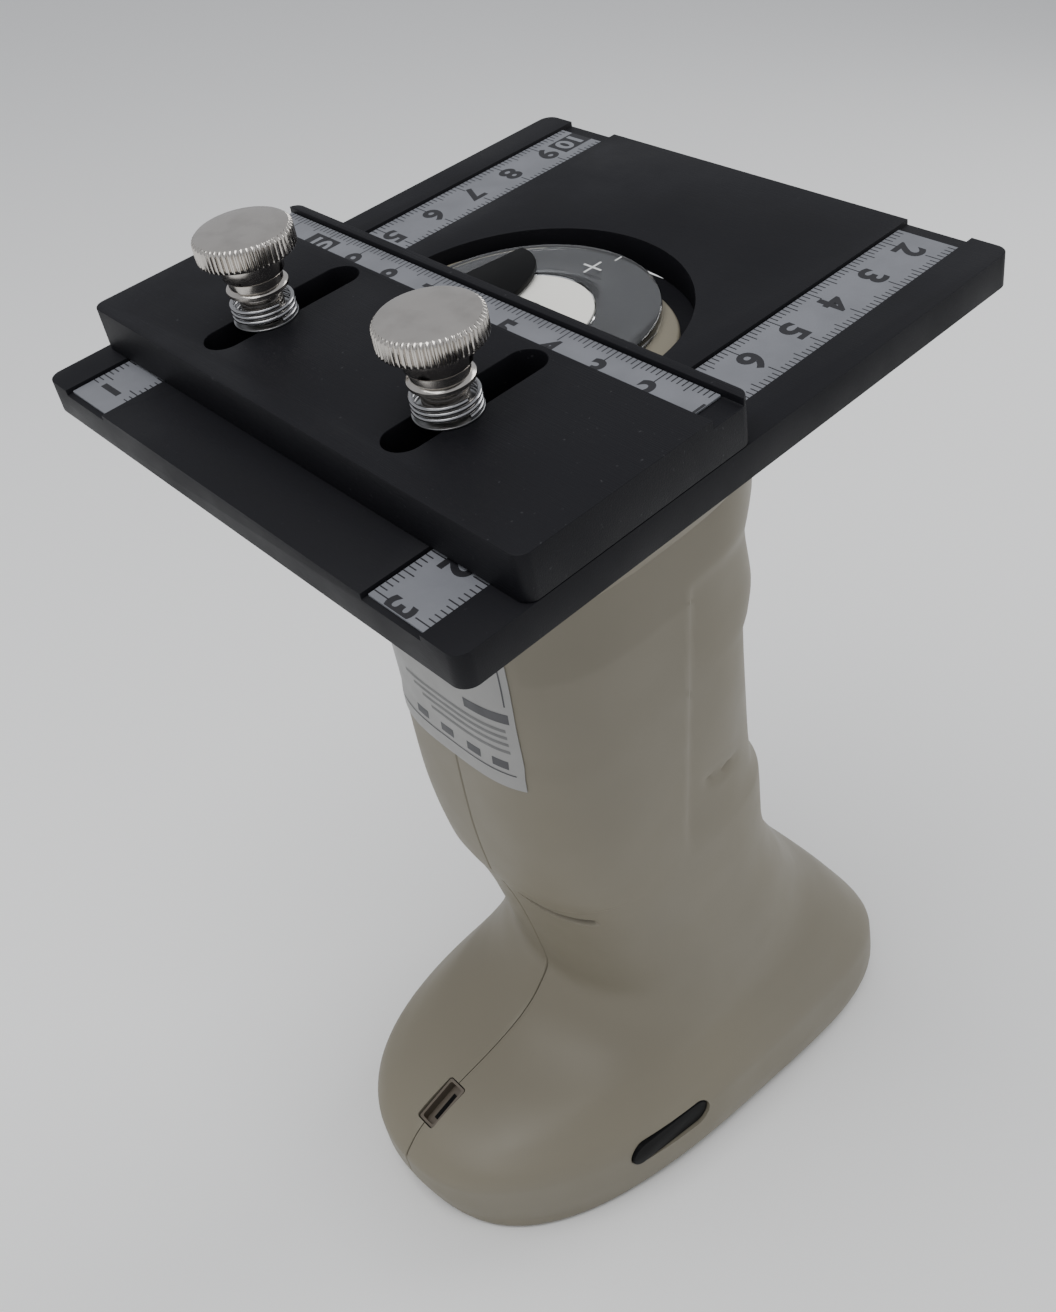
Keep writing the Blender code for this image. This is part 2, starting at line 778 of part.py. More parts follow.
def make_measure_button(dark_cream):
    """Measuring button in the back of the grip, with a bored stem for its spring."""
    low, high = BUTTON_H
    mid = (low + high) / 2
    size = (BUTTON_W - 0.6, BUTTON_T, high - low - 0.6)
    face = 90.5
    button = block("measure_button", size, (MID_X, face - BUTTON_T / 2, -mid), dark_cream)
    soften = button.modifiers.new("Soft", "BEVEL")
    soften.width = 0.8 * MM
    soften.segments = 2
    at = (MID_X, face - BUTTON_T, -mid)
    bore = rod("tool_button_bore", 3.9, 4.6, at, None, axis="Y", sides=24, helper=True)
    cut(button, bore)
    stem = rod("tool_button_stem", 1.5, 6.0, (MID_X, face - 4.6, -mid), None, axis="Y", sides=16, helper=True)
    cut(button, stem, "UNION")
    return button


def make_board(green):
    """Main circuit board with its larger chips."""
    board = block("main_board", (34, 1.6, 70), (MID_X, 44.0, -101), green)
    chips = (("a", (12, 2.4, 12), -84), ("b", (9, 2.4, 15), -106), ("c", (16, 2.4, 7), -124))
    for tag, size, z in chips:
        tool = block(f"tool_chip_{tag}", size, (MID_X - 4, 42.4, z), None, helper=True)
        cut(board, tool, "UNION")
    return board


def make_battery_tray(dark):
    """Saddle that holds the cell against the board."""
    tray = block("battery_tray", (23, 11.0, 69), (MID_X, 51.5, -97), dark)
    cut(tray, rod("tool_tray", 9.5, 65.8, (MID_X, 66.0, -97), None, sides=32, helper=True))
    return tray


def make_cell(material):
    """Rechargeable cell with its raised terminal."""
    profile = [
        (0.0, 33.3),
        (2.8, 33.3),
        (2.8, 32.4),
        (8.7, 32.4),
        (9.1, 31.9),
        (9.1, -31.9),
        (8.7, -32.4),
        (0.0, -32.4),
    ]
    return turned("battery_cell", profile, (MID_X, 66.0, -97), material, sides=32)


def make_switch(dark):
    """Small switch behind the measuring button."""
    low, high = BUTTON_H
    mid = (low + high) / 2
    return block("measure_switch", (9, 4.6, 13), (MID_X, 78.2, -mid), dark)


def make_port_socket(metal):
    """Charging and data socket in the seam over the toe."""
    socket = socket_block("port_socket", 0.0, 6.4, -3.3, metal)
    mesh = block_mesh("tool_port_mouth", (PORT_SIZE[1] - 1.2, PORT_SIZE[0] - 1.2, 9.0))
    mesh.transform(Matrix.Rotation(PORT_LEAN, 4, "X"))
    cut(socket, place("tool_port_mouth", mesh, STAGE, port_point(2.6), None, True))
    return socket


# ---------------------------------------------------------------- display


def make_bezel(grey):
    """Plate that closes the head, with the window's opening and the key holes."""
    face = STATIONS[-1]
    upper = outline(moved(face, face[0] - 3.4), 2.3)
    lower = outline(moved(face, face[0] - 0.8), 2.3)
    bezel = place("display_bezel", loft_mesh("display_bezel", [upper, lower]), STAGE, (0, 0, 0), grey)
    width, length = WINDOW_SIZE
    through = block("tool_window", (width - 4, length - 4, 14), (0, WINDOW_V, 0), None, TABLE, helper=True)
    seat = block("tool_window_seat", (width + 0.4, length + 0.4, 4.0), (0, WINDOW_V, 0), None, TABLE, helper=True)
    cut(bezel, through)
    cut(bezel, seat)
    for k, x in enumerate(key_places()):
        cut(bezel, rod(f"tool_key_{k}", KEY_R + 0.25, 14, (x, KEY_V, 0), None, TABLE, helper=True))
    return bezel


def key_places():
    """World x of the keys."""
    return (-KEY_PITCH, 0.0, KEY_PITCH)


def make_key(name, x, material):
    """Round menu key with a keeping flange behind the bezel."""
    profile = [
        (0.0, 5.4),
        (KEY_R, 5.4),
        (KEY_R, 4.6),
        (KEY_R + 0.9, 4.6),
        (KEY_R + 0.9, 3.7),
        (KEY_R, 3.7),
        (KEY_R, 1.5),
        (KEY_R - 0.5, 1.1),
        (0.0, 1.1),
    ]
    return turned(name, profile, (x, KEY_V, 0), material, TABLE, sides=28)


def make_display(clear, dark):
    """Window pane and the display panel behind it."""
    width, length = WINDOW_SIZE
    block("display_window", (width, length, 1.0), (0, WINDOW_V, 1.4), clear, TABLE, corner=1.5)
    block("display_panel", (width + 4, length + 4, 3.2), (0, WINDOW_V, 5.4), dark, TABLE)


# ---------------------------------------------------------------- everything

clear_scene()
OBJECT = collection("colorimeter_with_stage")
HELPERS = collection("helpers", hidden=True)

STAGE = bpy.data.objects.new("stage_axes", None)
STAGE.rotation_euler = (TILT, 0.0, 0.0)
STAGE.location = (-MID_X * MM, -CENTRE_Y * MM, FACE_DEPTH * math.cos(TILT) * MM)
OBJECT.objects.link(STAGE)

TABLE = bpy.data.objects.new("table_axes", None)
OBJECT.objects.link(TABLE)

BLACK = paint("black_anodised", (0.018, 0.018, 0.020), 0.38, 0.6)
STEEL_TAPE = paint("steel_tape", (0.62, 0.63, 0.64), 0.42, 0.3)
NICKEL = paint("nickel", (0.78, 0.77, 0.74), 0.18, 1.0)
SPRING_STEEL = paint("spring_steel", (0.62, 0.62, 0.63), 0.3, 1.0)
ZINC = paint("zinc_screw", (0.55, 0.55, 0.56), 0.35, 1.0)
CREAM = paint("cream_plastic", (0.60, 0.56, 0.47), 0.48)
WARM_GREY = paint("warm_grey_plastic", (0.40, 0.38, 0.33), 0.5)
CLEAR = paint("clear_acrylic", (0.92, 0.94, 0.95), 0.06, 0.0, 0.9)
WHITE = paint("white_target", (0.88, 0.88, 0.85), 0.6)
DARK = paint("dark_plastic", (0.03, 0.03, 0.032), 0.5)
GREEN = paint("circuit_board", (0.03, 0.16, 0.08), 0.5)
CELL = paint("cell_wrap", (0.08, 0.20, 0.45), 0.45)
PAPER = paint("label_paper", (0.70, 0.71, 0.72), 0.5)

make_plate(BLACK)
make_scale("scale_left", GROOVE_X[0], STEEL_TAPE)
make_scale("scale_right", GROOVE_X[1], STEEL_TAPE)
make_fence(BLACK)
make_fence_scale(STEEL_TAPE)
make_fence_tab(BLACK)
for side_name, screw_x in zip(("left", "right"), SLOT_X):
    make_thumb_screw(f"thumb_screw_{side_name}", screw_x, NICKEL)
    make_washer(f"flat_washer_{side_name}", screw_x, ZINC)
    base = FENCE_Z + FENCE_T + 0.4 + WIRE_R
    make_spring(
        f"coil_spring_{side_name}", (screw_x, SCREW_Y, base), SPRING_R, WIRE_R, 3, 0.95, SPRING_STEEL
    )

make_collar(BLACK)
for index, (hole_x, hole_y) in enumerate(collar_holes()):
    make_collar_screw(f"collar_screw_{index + 1}", hole_x, hole_y, ZINC)
make_nose(CREAM)
make_target_ring(CLEAR)
make_aperture(WHITE)
make_sphere_half("sphere_upper", True, WHITE)
make_sphere_half("sphere_lower", False, WHITE)
make_led_board(GREEN)
make_optics(DARK)

make_shell("shell_right", 1, CREAM)
make_shell("shell_left", -1, CREAM)
for index, (screw_y, screw_depth) in enumerate(SHELL_SCREWS):
    make_shell_screw(f"shell_screw_{index + 1}", screw_y, screw_depth, ZINC)
make_label(PAPER)
make_measure_button(CREAM)
middle = -(BUTTON_H[0] + BUTTON_H[1]) / 2
make_spring("measure_spring", (MID_X, 81.1, middle), 3.1, 0.35, 5, 1.1, SPRING_STEEL, axis="Y")
make_switch(DARK)
place("power_button", oval_mesh("power_button", POWER_SIZE, 0.0, 4.4), STAGE, power_at(), DARK)
make_port_socket(DARK)
make_board(GREEN)
make_cell(CELL)
make_battery_tray(DARK)

make_bezel(WARM_GREY)
make_display(CLEAR, DARK)
for key_name, key_x in zip(("left", "middle", "right"), key_places()):
    make_key(f"menu_key_{key_name}", key_x, WARM_GREY)

bpy.context.view_layer.update()
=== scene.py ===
"""Studio view of a hand-held colorimeter with a sample stage on its nose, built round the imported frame.

Shapes are drawn in the stage's own axes, in millimetres: x across the plate, y away from the user,
z out of the plate's top face. STAGE_AXES takes them to the shared frame, in metres.
"""
import math

import bmesh
import bpy
import numpy as np
from mathutils import Matrix, Vector


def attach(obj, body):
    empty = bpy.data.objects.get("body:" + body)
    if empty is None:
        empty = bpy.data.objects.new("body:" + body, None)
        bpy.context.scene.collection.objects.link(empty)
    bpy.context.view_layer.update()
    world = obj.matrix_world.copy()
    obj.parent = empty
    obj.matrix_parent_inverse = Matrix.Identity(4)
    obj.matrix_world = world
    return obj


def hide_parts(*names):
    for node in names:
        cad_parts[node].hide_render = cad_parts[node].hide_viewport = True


# How the stage leans and where it stands over the table
TILT = math.radians(11.5)
FACE_DEPTH = 195.5  # from the plate's top to the display face, at y = 0
CENTRE_Y = 80.687
LEAN_Y = 50.0
MID_X = 55.0
PORT_Y = 61.0

# Stage plate
PLATE = (110.0, 120.0, 6.0)
PLATE_CORNER = 2.6
PLATE_PORT_R = 29.3
GROOVE_X = (13.25, 96.25)
GROOVE_W = 12.5
GROOVE_D = 1.0
SCREW_HOLE_R = 3.0
COLLAR_HOLE_R = 1.35
COLLAR_HOLES = (27, 24)  # from the port's middle, on both sides

# Fence, thumb screws and springs
FENCE_Y = (12.0, 56.0)
FENCE_THICK = 8.0
FENCE_TOP = 8.1
FENCE_CORNER = 2.2
SLOT_X = (30.5, 77.3)
SLOT_W = 6.8
SLOT_L = 30.3
SLOT_MID = 31.65
SCREW_Y = 28.3
WASHER_R = (3.75, 5.4)
CLAMP_SPRING = (5.0, 0.36, 3, 0.95)  # coil radius, wire radius, turns, pitch
KNURL = (4, 7, 54, 0.42)  # first row, last row, ridges, depth
SCREW_PROFILE = [
    # head, from its flat top over the knurled rim to the underside
    (0.0, 24.1),
    (4.0, 24.08),
    (7.2, 24.06),
    (7.6, 23.92),
    (8.1, 23.5),
    (8.19, 23.2),
    (8.19, 20.5),
    (8.12, 20.2),
    (7.6, 19.92),
    (5.2, 19.9),
    # stepped collar
    (4.6, 19.7),
    (4.7, 19.3),
    (5.1, 19.0),
    (5.1, 16.5),
    (4.9, 16.2),
    (4.5, 16.0),
    (4.5, 14.65),
    (4.9, 14.4),
    (5.1, 14.15),
    (5.1, 13.6),
    (4.85, 13.4),
    # shank
    (3.6, 13.32),
    (3.6, 9.3),
    (2.9, 8.9),
    (2.9, -5.2),
    (2.3, -5.8),
    (0.0, -5.8),
]

# Rules
SIDE_RULE = (12.0, 116.0, 0.4)
SIDE_RULE_MID = 59.0
FENCE_RULE = (105.0, 6.0, 0.4)
FENCE_RULE_MID = 53.5
FENCE_GROOVE_W = 6.4
FENCE_GROOVE_D = 1.3
RULE_Y = 51.1
RULE_LIFT = 0.05  # gap under a tape
INK_LIFT = 0.412  # ink over a tape's underside
TICK_HALF = 0.11

# Port
RING_R = (12.75, 23.8)
RING_Z = (-2.15, -0.16)

# Housing
WALL = 2.4
FACE_WALL = 2.0
NECK_HALF = (28.4, 21.5)
NECK_SQUARE = 2.3
RING_STEPS = 144
HALF_STEPS = 88
CREASE_LIP = 119.4
CREASE_FALL = 0.25
CREASE_DEEP = 2.0
FOLD_DEEP = 0.3
SHOULDER_DEPTH = 53.5
SHOULDER_SLOPE = 0.115
PANEL_DEEP = 0.85
SHELL_SCREWS = ((40.0, 60.0, 22.4), (80.0, 131.0, 22.4), (98.0, 190.0, 30.0), (13.0, 184.0, 27.4))

# Controls and socket
BUTTON_H = (78.0, 115.0)
BUTTON_W = 19.0
BUTTON_GAP = 0.3
BUTTON_SPRING = (3.1, 0.35, 5, 1.1)  # coil radius, wire radius, turns, pitch
POWER_AT = (36.0, 187.4)
POWER_SIZE = (6.6, 22.0)
POWER_OUT = 34.4
PORT_AT = (1.6, 172.2)
PORT_LEAN = math.radians(14)
SOCKET_SIZE = (4.6, 10.4)

# The housing's sections: depth below the plate's top, front, back, half width, widest at y,
# front squareness, back squareness, and how far the section lies level with the table
STATIONS = np.array(
    [
        (37.3, 27.0, 98.4, 28.6, 60, 3.0, 3.1, 0.0),
        (44.0, 27.8, 97.2, 28.4, 60, 3.0, 3.2, 0.0),
        (54.0, 28.2, 92.9, 28.2, 60, 3.1, 3.5, 0.0),
        (66.0, 28.0, 94.0, 28.0, 60, 3.2, 3.5, 0.0),
        (73.0, 28.0, 92.4, 28.0, 60, 3.2, 3.5, 0.0),
        (77.0, 27.7, 91.0, 27.9, 60, 3.3, 3.4, 0.0),
        (96.0, 27.3, 90.8, 27.6, 60, 3.3, 3.3, 0.0),
        (116.0, 28.6, 91.2, 27.3, 60, 3.0, 3.2, 0.0),
        (121.0, 30.0, 93.2, 27.3, 60, 2.8, 3.3, 0.0),
        (136.0, 33.8, 93.4, 27.2, 60, 2.4, 3.2, 0.0),
        (148.0, 35.8, 95.8, 27.8, 61, 2.2, 2.9, 0.02),
        (158.0, 36.8, 100.3, 28.9, 62, 2.1, 2.7, 0.08),
        (165.0, 32.0, 104.0, 29.6, 62, 2.1, 2.6, 0.14),
        (169.0, 26.0, 106.3, 30.0, 62, 2.1, 2.6, 0.20),
        (172.0, 17.0, 108.3, 30.4, 61, 2.1, 2.8, 0.28),
        (174.5, 6.0, 110.4, 30.9, 60, 2.2, 3.2, 0.36),
        (178.0, -3.1, 113.6, 32.5, 59, 2.3, 3.7, 0.46),
        (183.0, -8.0, 117.6, 35.0, 58, 2.5, 4.2, 0.60),
        (189.0, -10.4, 121.5, 37.2, 58, 2.3, 4.6, 0.80),
        (196.0, -10.4, 121.8, 37.3, 58, 2.3, 4.6, 0.95),
        (202.0, -9.4, 120.6, 36.5, 58, 2.4, 4.5, 1.0),
        (204.6, -8.2, 117.6, 35.0, 58, 2.7, 4.3, 1.0),
        (FACE_DEPTH + LEAN_Y * math.tan(TILT), -5.8, 115.0, 33.2, 58, 3.0, 4.1, 1.0),
    ]
)
# The nose cover below the neck: depth, front, back, half width
SKIRT = (
    (12.0, 29.5, 93.0, 30.8),
    (12.4, 29.0, 95.0, 32.0),
    (13.6, 26.6, 96.6, 33.3),
    (16.0, 24.5, 98.0, 34.0),
    (20.0, 24.1, 98.8, 34.0),
    (26.0, 24.5, 99.0, 33.6),
    (30.0, 25.0, 98.6, 32.6),
    (33.6, 25.7, 98.6, 31.2),
    (36.2, 26.4, 98.6, 29.4),
    (36.8, 26.6, 98.5, 29.1),
    (36.9, 27.2, 98.0, 28.5),
)

STAGE_AXES = (
    Matrix.Translation((-MID_X / 1000, -CENTRE_Y / 1000, FACE_DEPTH * math.cos(TILT) / 1000))
    @ Matrix.Rotation(TILT, 4, "X")
    @ Matrix.Scale(0.001, 4)
)

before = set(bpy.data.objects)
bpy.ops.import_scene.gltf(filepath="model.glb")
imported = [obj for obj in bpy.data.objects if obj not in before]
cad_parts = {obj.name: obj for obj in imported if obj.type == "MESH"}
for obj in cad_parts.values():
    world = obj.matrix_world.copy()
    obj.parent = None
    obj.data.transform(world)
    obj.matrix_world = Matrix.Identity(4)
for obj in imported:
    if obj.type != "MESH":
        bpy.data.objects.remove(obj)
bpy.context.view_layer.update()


# ---------------------------------------------------------------- mesh helpers


def mesh_of(shape, name="shape"):
    """A mesh from a bmesh, its faces turned outward."""
    bmesh.ops.recalc_face_normals(shape, faces=shape.faces)
    mesh = bpy.data.meshes.new(name)
    shape.to_mesh(mesh)
    shape.free()
    return mesh


def thing(name, mesh):
    """A linked object that shows a mesh."""
    item = bpy.data.objects.new(name, mesh)
    bpy.context.scene.collection.objects.link(item)
    return item


def bake(item):
    """Turns an object's modifiers into plain mesh."""
    graph = bpy.context.evaluated_depsgraph_get()
    graph.update()
    mesh = bpy.data.meshes.new_from_object(item.evaluated_get(graph))
    item.modifiers.clear()
    item.data = mesh
    return item


def cut(item, tool_mesh, operation="DIFFERENCE"):
    """Cuts or joins a mesh at once."""
    tool = thing("tool", tool_mesh)
    made = item.modifiers.new("cut", "BOOLEAN")
    made.object = tool
    made.operation = operation
    made.solver = "EXACT"
    bake(item)
    bpy.data.objects.remove(tool)
    return item


def ease(item, width, segments=2, angle=40):
    """Rounds the sharp edges a little."""
    made = item.modifiers.new("ease", "BEVEL")
    made.width = width
    made.segments = segments
    made.limit_method = "ANGLE"
    made.angle_limit = math.radians(angle)
    return bake(item)


def box_mesh(size, at=(0, 0, 0), corner=0.0, segments=10, turn=None):
    """A box with rounded upright edges."""
    shape = bmesh.new()
    bmesh.ops.create_cube(shape, size=1.0)
    bmesh.ops.scale(shape, vec=size, verts=shape.verts)
    if corner:
        upright = [e for e in shape.edges if abs(e.verts[0].co.z - e.verts[1].co.z) > 1e-6]
        bmesh.ops.bevel(
            shape, geom=upright, offset=corner, segments=segments, affect="EDGES", profile=0.5
        )
    mesh = mesh_of(shape)
    if turn:
        mesh.transform(turn)
    mesh.transform(Matrix.Translation(at))
    return mesh


def rod_mesh(radius, length, at, axis="Z", sides=48):
    """A cylinder along an axis."""
    shape = bmesh.new()
    bmesh.ops.create_cone(
        shape, cap_ends=True, segments=sides, radius1=radius, radius2=radius, depth=length
    )
    mesh = mesh_of(shape)
    if axis != "Z":
        mesh.transform(Matrix.Rotation(math.pi / 2, 4, "Y" if axis == "X" else "X"))
    mesh.transform(Matrix.Translation(at))
    return mesh


def lathe_mesh(profile, at, sides=128, knurl=None):
    """Turns (radius, height) points round z. knurl is (first row, last row, ridges, depth)."""
    shape = bmesh.new()
    rows = []
    closed = profile[0][0] > 0 and profile[-1][0] > 0
    for i, (radius, z) in enumerate(profile):
        if radius == 0:
            rows.append([shape.verts.new((0, 0, z))])
            continue
        row = []
        for k in range(sides):
            angle = 2 * math.pi * k / sides
            r = radius
            if knurl and knurl[0] <= i <= knurl[1]:
                wave = math.cos(angle * knurl[2])
                r -= knurl[3] * (0.5 - 0.5 * math.copysign(abs(wave) ** 0.4, wave))
            row.append(shape.verts.new((r * math.cos(angle), r * math.sin(angle), z)))
        rows.append(row)
    pairs = list(zip(rows, rows[1:]))
    if closed:
        pairs.append((rows[-1], rows[0]))
    for a, b in pairs:
        for k in range(sides):
            n = (k + 1) % sides
            if len(a) == 1:
                shape.faces.new((a[0], b[k], b[n]))
            elif len(b) == 1:
                shape.faces.new((a[k], a[n], b[0]))
            else:
                shape.faces.new((a[k], a[n], b[n], b[k]))
    mesh = mesh_of(shape)
    mesh.transform(Matrix.Translation(at))
    return mesh


def rounded(points, radius=0.3, steps=3):
    """Eases the corners of a lathe profile."""
    made = []
    count = len(points)
    for i, point in enumerate(points):
        here = Vector(point)
        if i in (0, count - 1) and point[0] == 0:
            made.append(tuple(here))
            continue
        before = Vector(points[i - 1]) - here
        after = Vector(points[(i + 1) % count]) - here
        reach = min(radius, before.length * 0.45, after.length * 0.45)
        a = here + before.normalized() * reach
        b = here + after.normalized() * reach
        for k in range(steps + 1):
            t = k / steps
            made.append(tuple(a * (1 - t) ** 2 + here * 2 * t * (1 - t) + b * t**2))
    return made


def show(item, material, body, replaced=(), sharp=32):
    """Finishes a piece: takes it to the shared frame, smooths it, paints it and lets it ride."""
    item.data.transform(STAGE_AXES)
    item.data.materials.clear()
    item.data.materials.append(material)
    smooth(item, sharp)
    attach(item, body)
    if replaced:
        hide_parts(*replaced)
    return item


def smooth(item, sharp=32):
    """Smooth shading with sharp edges kept."""
    item.data.polygons.foreach_set("use_smooth", [True] * len(item.data.polygons))
    item.data.set_sharp_from_angle(angle=math.radians(sharp))


# ---------------------------------------------------------------- materials


class Paint:
    """Builds one material's node tree."""

    def __init__(self, name, colour, roughness, metallic=0.0):
        self.material = bpy.data.materials.new(name)
        self.material.use_nodes = True
        self.nodes = self.material.node_tree.nodes
        self.links = self.material.node_tree.links
        self.shader = self.nodes["Principled BSDF"]
        self.set("Base Color", (*colour, 1.0))
        self.set("Roughness", roughness)
        self.set("Metallic", metallic)
        self.colour = colour
        self.normal = None
        self.place = self.nodes.new("ShaderNodeTexCoord")

    def set(self, socket, value):
        """Gives a shader input a plain value."""
        self.shader.inputs[socket].default_value = value

    def noise(self, scale, stretch=(1, 1, 1), detail=4.0):
        """Noise in millimetres of the piece's own space, along the stage's axes."""
        mapping = self.nodes.new("ShaderNodeMapping")
        mapping.inputs["Scale"].default_value = [1000 * s * scale for s in stretch]
        turn = self.nodes.new("ShaderNodeMapping")
        turn.inputs["Rotation"].default_value = (-TILT, 0.0, 0.0)
        made = self.nodes.new("ShaderNodeTexNoise")
        made.inputs["Scale"].default_value = 1.0
        made.inputs["Detail"].default_value = detail
        self.links.new(self.place.outputs["Object"], turn.inputs["Vector"])
        self.links.new(turn.outputs["Vector"], mapping.inputs["Vector"])
        self.links.new(mapping.outputs["Vector"], made.inputs["Vector"])
        return made.outputs["Fac"]

    def spread(self, source, low, high, start=0.3, stop=0.7):
        """Maps a value to a range."""
        made = self.nodes.new("ShaderNodeMapRange")
        made.inputs["From Min"].default_value = start
        made.inputs["From Max"].default_value = stop
        made.inputs["To Min"].default_value = low
        made.inputs["To Max"].default_value = high
        self.links.new(source, made.inputs["Value"])
        return made.outputs["Result"]

    def rough(self, source, low, high, start=0.3, stop=0.7):
        """Varies the roughness between two values."""
        self.links.new(self.spread(source, low, high, start, stop), self.shader.inputs["Roughness"])
        return self

    def bump(self, source, strength, distance):
        """Adds relief on top of what is there."""
        made = self.nodes.new("ShaderNodeBump")
        made.inputs["Strength"].default_value = strength
        made.inputs["Distance"].default_value = distance
        self.links.new(source, made.inputs["Height"])
        if self.normal:
            self.links.new(self.normal, made.inputs["Normal"])
        self.normal = made.outputs["Normal"]
        self.links.new(self.normal, self.shader.inputs["Normal"])
        return self

    def tint(self, source, other, start=0.35, stop=0.65):
        """Varies the colour between its own and another."""
        mix = self.nodes.new("ShaderNodeMix")
        mix.data_type = "RGBA"
        mix.inputs[6].default_value = (*self.colour, 1.0)
        mix.inputs[7].default_value = (*other, 1.0)
        self.links.new(self.spread(source, 0.0, 1.0, start, stop), mix.inputs[0])
        self.links.new(mix.outputs[2], self.shader.inputs["Base Color"])
        return self


def anodised(name, stretch, grooves, dust):
    """Black anodised aluminium with fine tool lines and a little dust."""
    made = Paint(name, (0.0075, 0.0075, 0.0095), 0.5)
    cloud = made.noise(0.06, (1, 1, 1), 4.0)
    made.rough(cloud, 0.44, 0.6)
    made.bump(made.noise(4.0, stretch, 6.0), grooves, 0.0001)
    made.bump(made.noise(14.0, (1, 1, 1), 2.0), 0.10, 0.00003)
    made.tint(made.noise(1.1, (1, 1, 1), 8.0), dust, 0.68, 0.84)
    made.set("Specular IOR Level", 0.14)
    return made.material


def plastic(name, colour, warm, roughness, grain=0.12, shine=0.36):
    """Moulded plastic with a fine spark texture."""
    made = Paint(name, colour, roughness)
    made.rough(made.noise(0.05, (1, 1, 1), 3.0), roughness - 0.06, roughness + 0.08)
    made.bump(made.noise(3.2, (1, 1, 1), 3.0), grain, 0.00006)
    made.tint(made.noise(0.018, (1, 1, 1), 3.0), warm, 0.3, 0.7)
    made.set("Specular IOR Level", shine)
    return made.material


def plated(name, colour, low, high):
    """Bright plated metal with faint handling marks."""
    made = Paint(name, colour, low, 1.0)
    made.rough(made.noise(0.35, (1, 1, 1), 6.0), low, high)
    made.bump(made.noise(2.4, (1, 1, 1), 5.0), 0.12, 0.00003)
    made.tint(made.noise(0.22, (1, 1, 1), 5.0), [c * 0.82 for c in colour], 0.45, 0.75)
    return made.material


def tape():
    """White-grey lacquered steel tape."""
    made = Paint("tape_lacquer", (0.175, 0.180, 0.198), 0.4)
    made.rough(made.noise(0.2, (1, 1, 1), 5.0), 0.34, 0.5)
    made.set("Specular IOR Level", 0.3)
    made.tint(made.noise(0.12, (1, 1, 1), 5.0), (0.150, 0.155, 0.170), 0.4, 0.7)
    made.bump(made.noise(1.5, (1, 1, 1), 3.0), 0.06, 0.00004)
    return made.material


def clear():
    """Polished clear acrylic."""
    made = Paint("clear_acrylic_fine", (0.96, 0.975, 0.98), 0.03)
    made.set("Transmission Weight", 1.0)
    made.set("IOR", 1.49)
    made.rough(made.noise(0.5, (1, 1, 1), 5.0), 0.015, 0.07)
    return made.material


def flat_paint(name, colour, roughness):
    """A simple finish with slight unevenness."""
    made = Paint(name, colour, roughness)
    made.rough(made.noise(0.3, (1, 1, 1), 4.0), roughness - 0.05, roughness + 0.07)
    made.bump(made.noise(2.0, (1, 1, 1), 3.0), 0.08, 0.00004)
    return made.material


PLATE_BLACK = anodised("plate_anodised", (0.12, 1.4, 1.0), 0.25, (0.02, 0.02, 0.023))
FENCE_BLACK = anodised("fence_anodised", (0.03, 1.8, 1.0), 0.45, (0.06, 0.06, 0.065))
CREAM = plastic("cream_housing", (0.203, 0.182, 0.134), (0.190, 0.172, 0.130), 0.48)
CREAM_KEY = plastic("cream_button", (0.196, 0.176, 0.130), (0.184, 0.167, 0.125), 0.5)
GREY = plastic("bezel_grey", (0.12, 0.112, 0.095), (0.11, 0.102, 0.088), 0.45)
BLACK_PLASTIC = plastic(
    "black_moulding", (0.003, 0.0031, 0.0033), (0.005, 0.005, 0.0053), 0.45, shine=0.07
)
NICKEL = plated("bright_nickel", (0.58, 0.55, 0.51), 0.12, 0.26)
WIRE = plated("spring_wire", (0.42, 0.42, 0.43), 0.12, 0.26)
ZINC = plated("zinc_plate", (0.36, 0.365, 0.37), 0.26, 0.42)
TAPE = tape()
INK = flat_paint("tape_ink", (0.008, 0.008, 0.011), 0.5)
WHITE_INK = flat_paint("tape_white_ink", (0.18, 0.186, 0.204), 0.45)
CLEAR = clear()
WHITE = plastic("white_diffuser", (0.84, 0.83, 0.77), (0.80, 0.79, 0.73), 0.55, 0.05)
FROST = flat_paint("frosted_mark", (0.62, 0.63, 0.62), 0.7)
LABEL = flat_paint("label_film", (0.285, 0.282, 0.272), 0.46)
LABEL_INK = flat_paint("label_ink", (0.05, 0.05, 0.055), 0.5)
LABEL_GREY = flat_paint("label_grey_ink", (0.13, 0.13, 0.128), 0.5)
BOARD = flat_paint("solder_mask", (0.015, 0.10, 0.045), 0.35)
SLEEVE = flat_paint("cell_sleeve", (0.04, 0.12, 0.32), 0.35)
SOCKET = flat_paint("socket_dark", (0.11, 0.088, 0.064), 0.5)
BACKING = plastic("ring_backing_grey", (0.036, 0.036, 0.038), (0.032, 0.032, 0.034), 0.6)
DISPLAY = flat_paint("display_glass", (0.012, 0.013, 0.016), 0.12)


# ---------------------------------------------------------------- stage


def make_plate():
    """Base plate with its two rule grooves, the round opening and screw holes."""
    _, length, thick = PLATE
    at = (MID_X, length / 2, -thick / 2)
    plate = thing("plate_body", box_mesh(PLATE, at, PLATE_CORNER, 10))
    for x in GROOVE_X:
        cut(plate, box_mesh((GROOVE_W, length + 10, 2 * GROOVE_D), (x, length / 2, 0)))
    cut(plate, rod_mesh(PLATE_PORT_R, 20, (MID_X, PORT_Y, -3), sides=180))
    for x in SLOT_X:
        cut(plate, rod_mesh(SCREW_HOLE_R, 20, (x, SCREW_Y, -3)))
    across, along = COLLAR_HOLES
    for sx in (-across, across):
        for sy in (-along, along):
            cut(plate, rod_mesh(COLLAR_HOLE_R, 7, (MID_X + sx, PORT_Y + sy, -thick), sides=24))
    ease(plate, 0.32, 3)
    return show(plate, PLATE_BLACK, "instrument", ["stage_plate"])


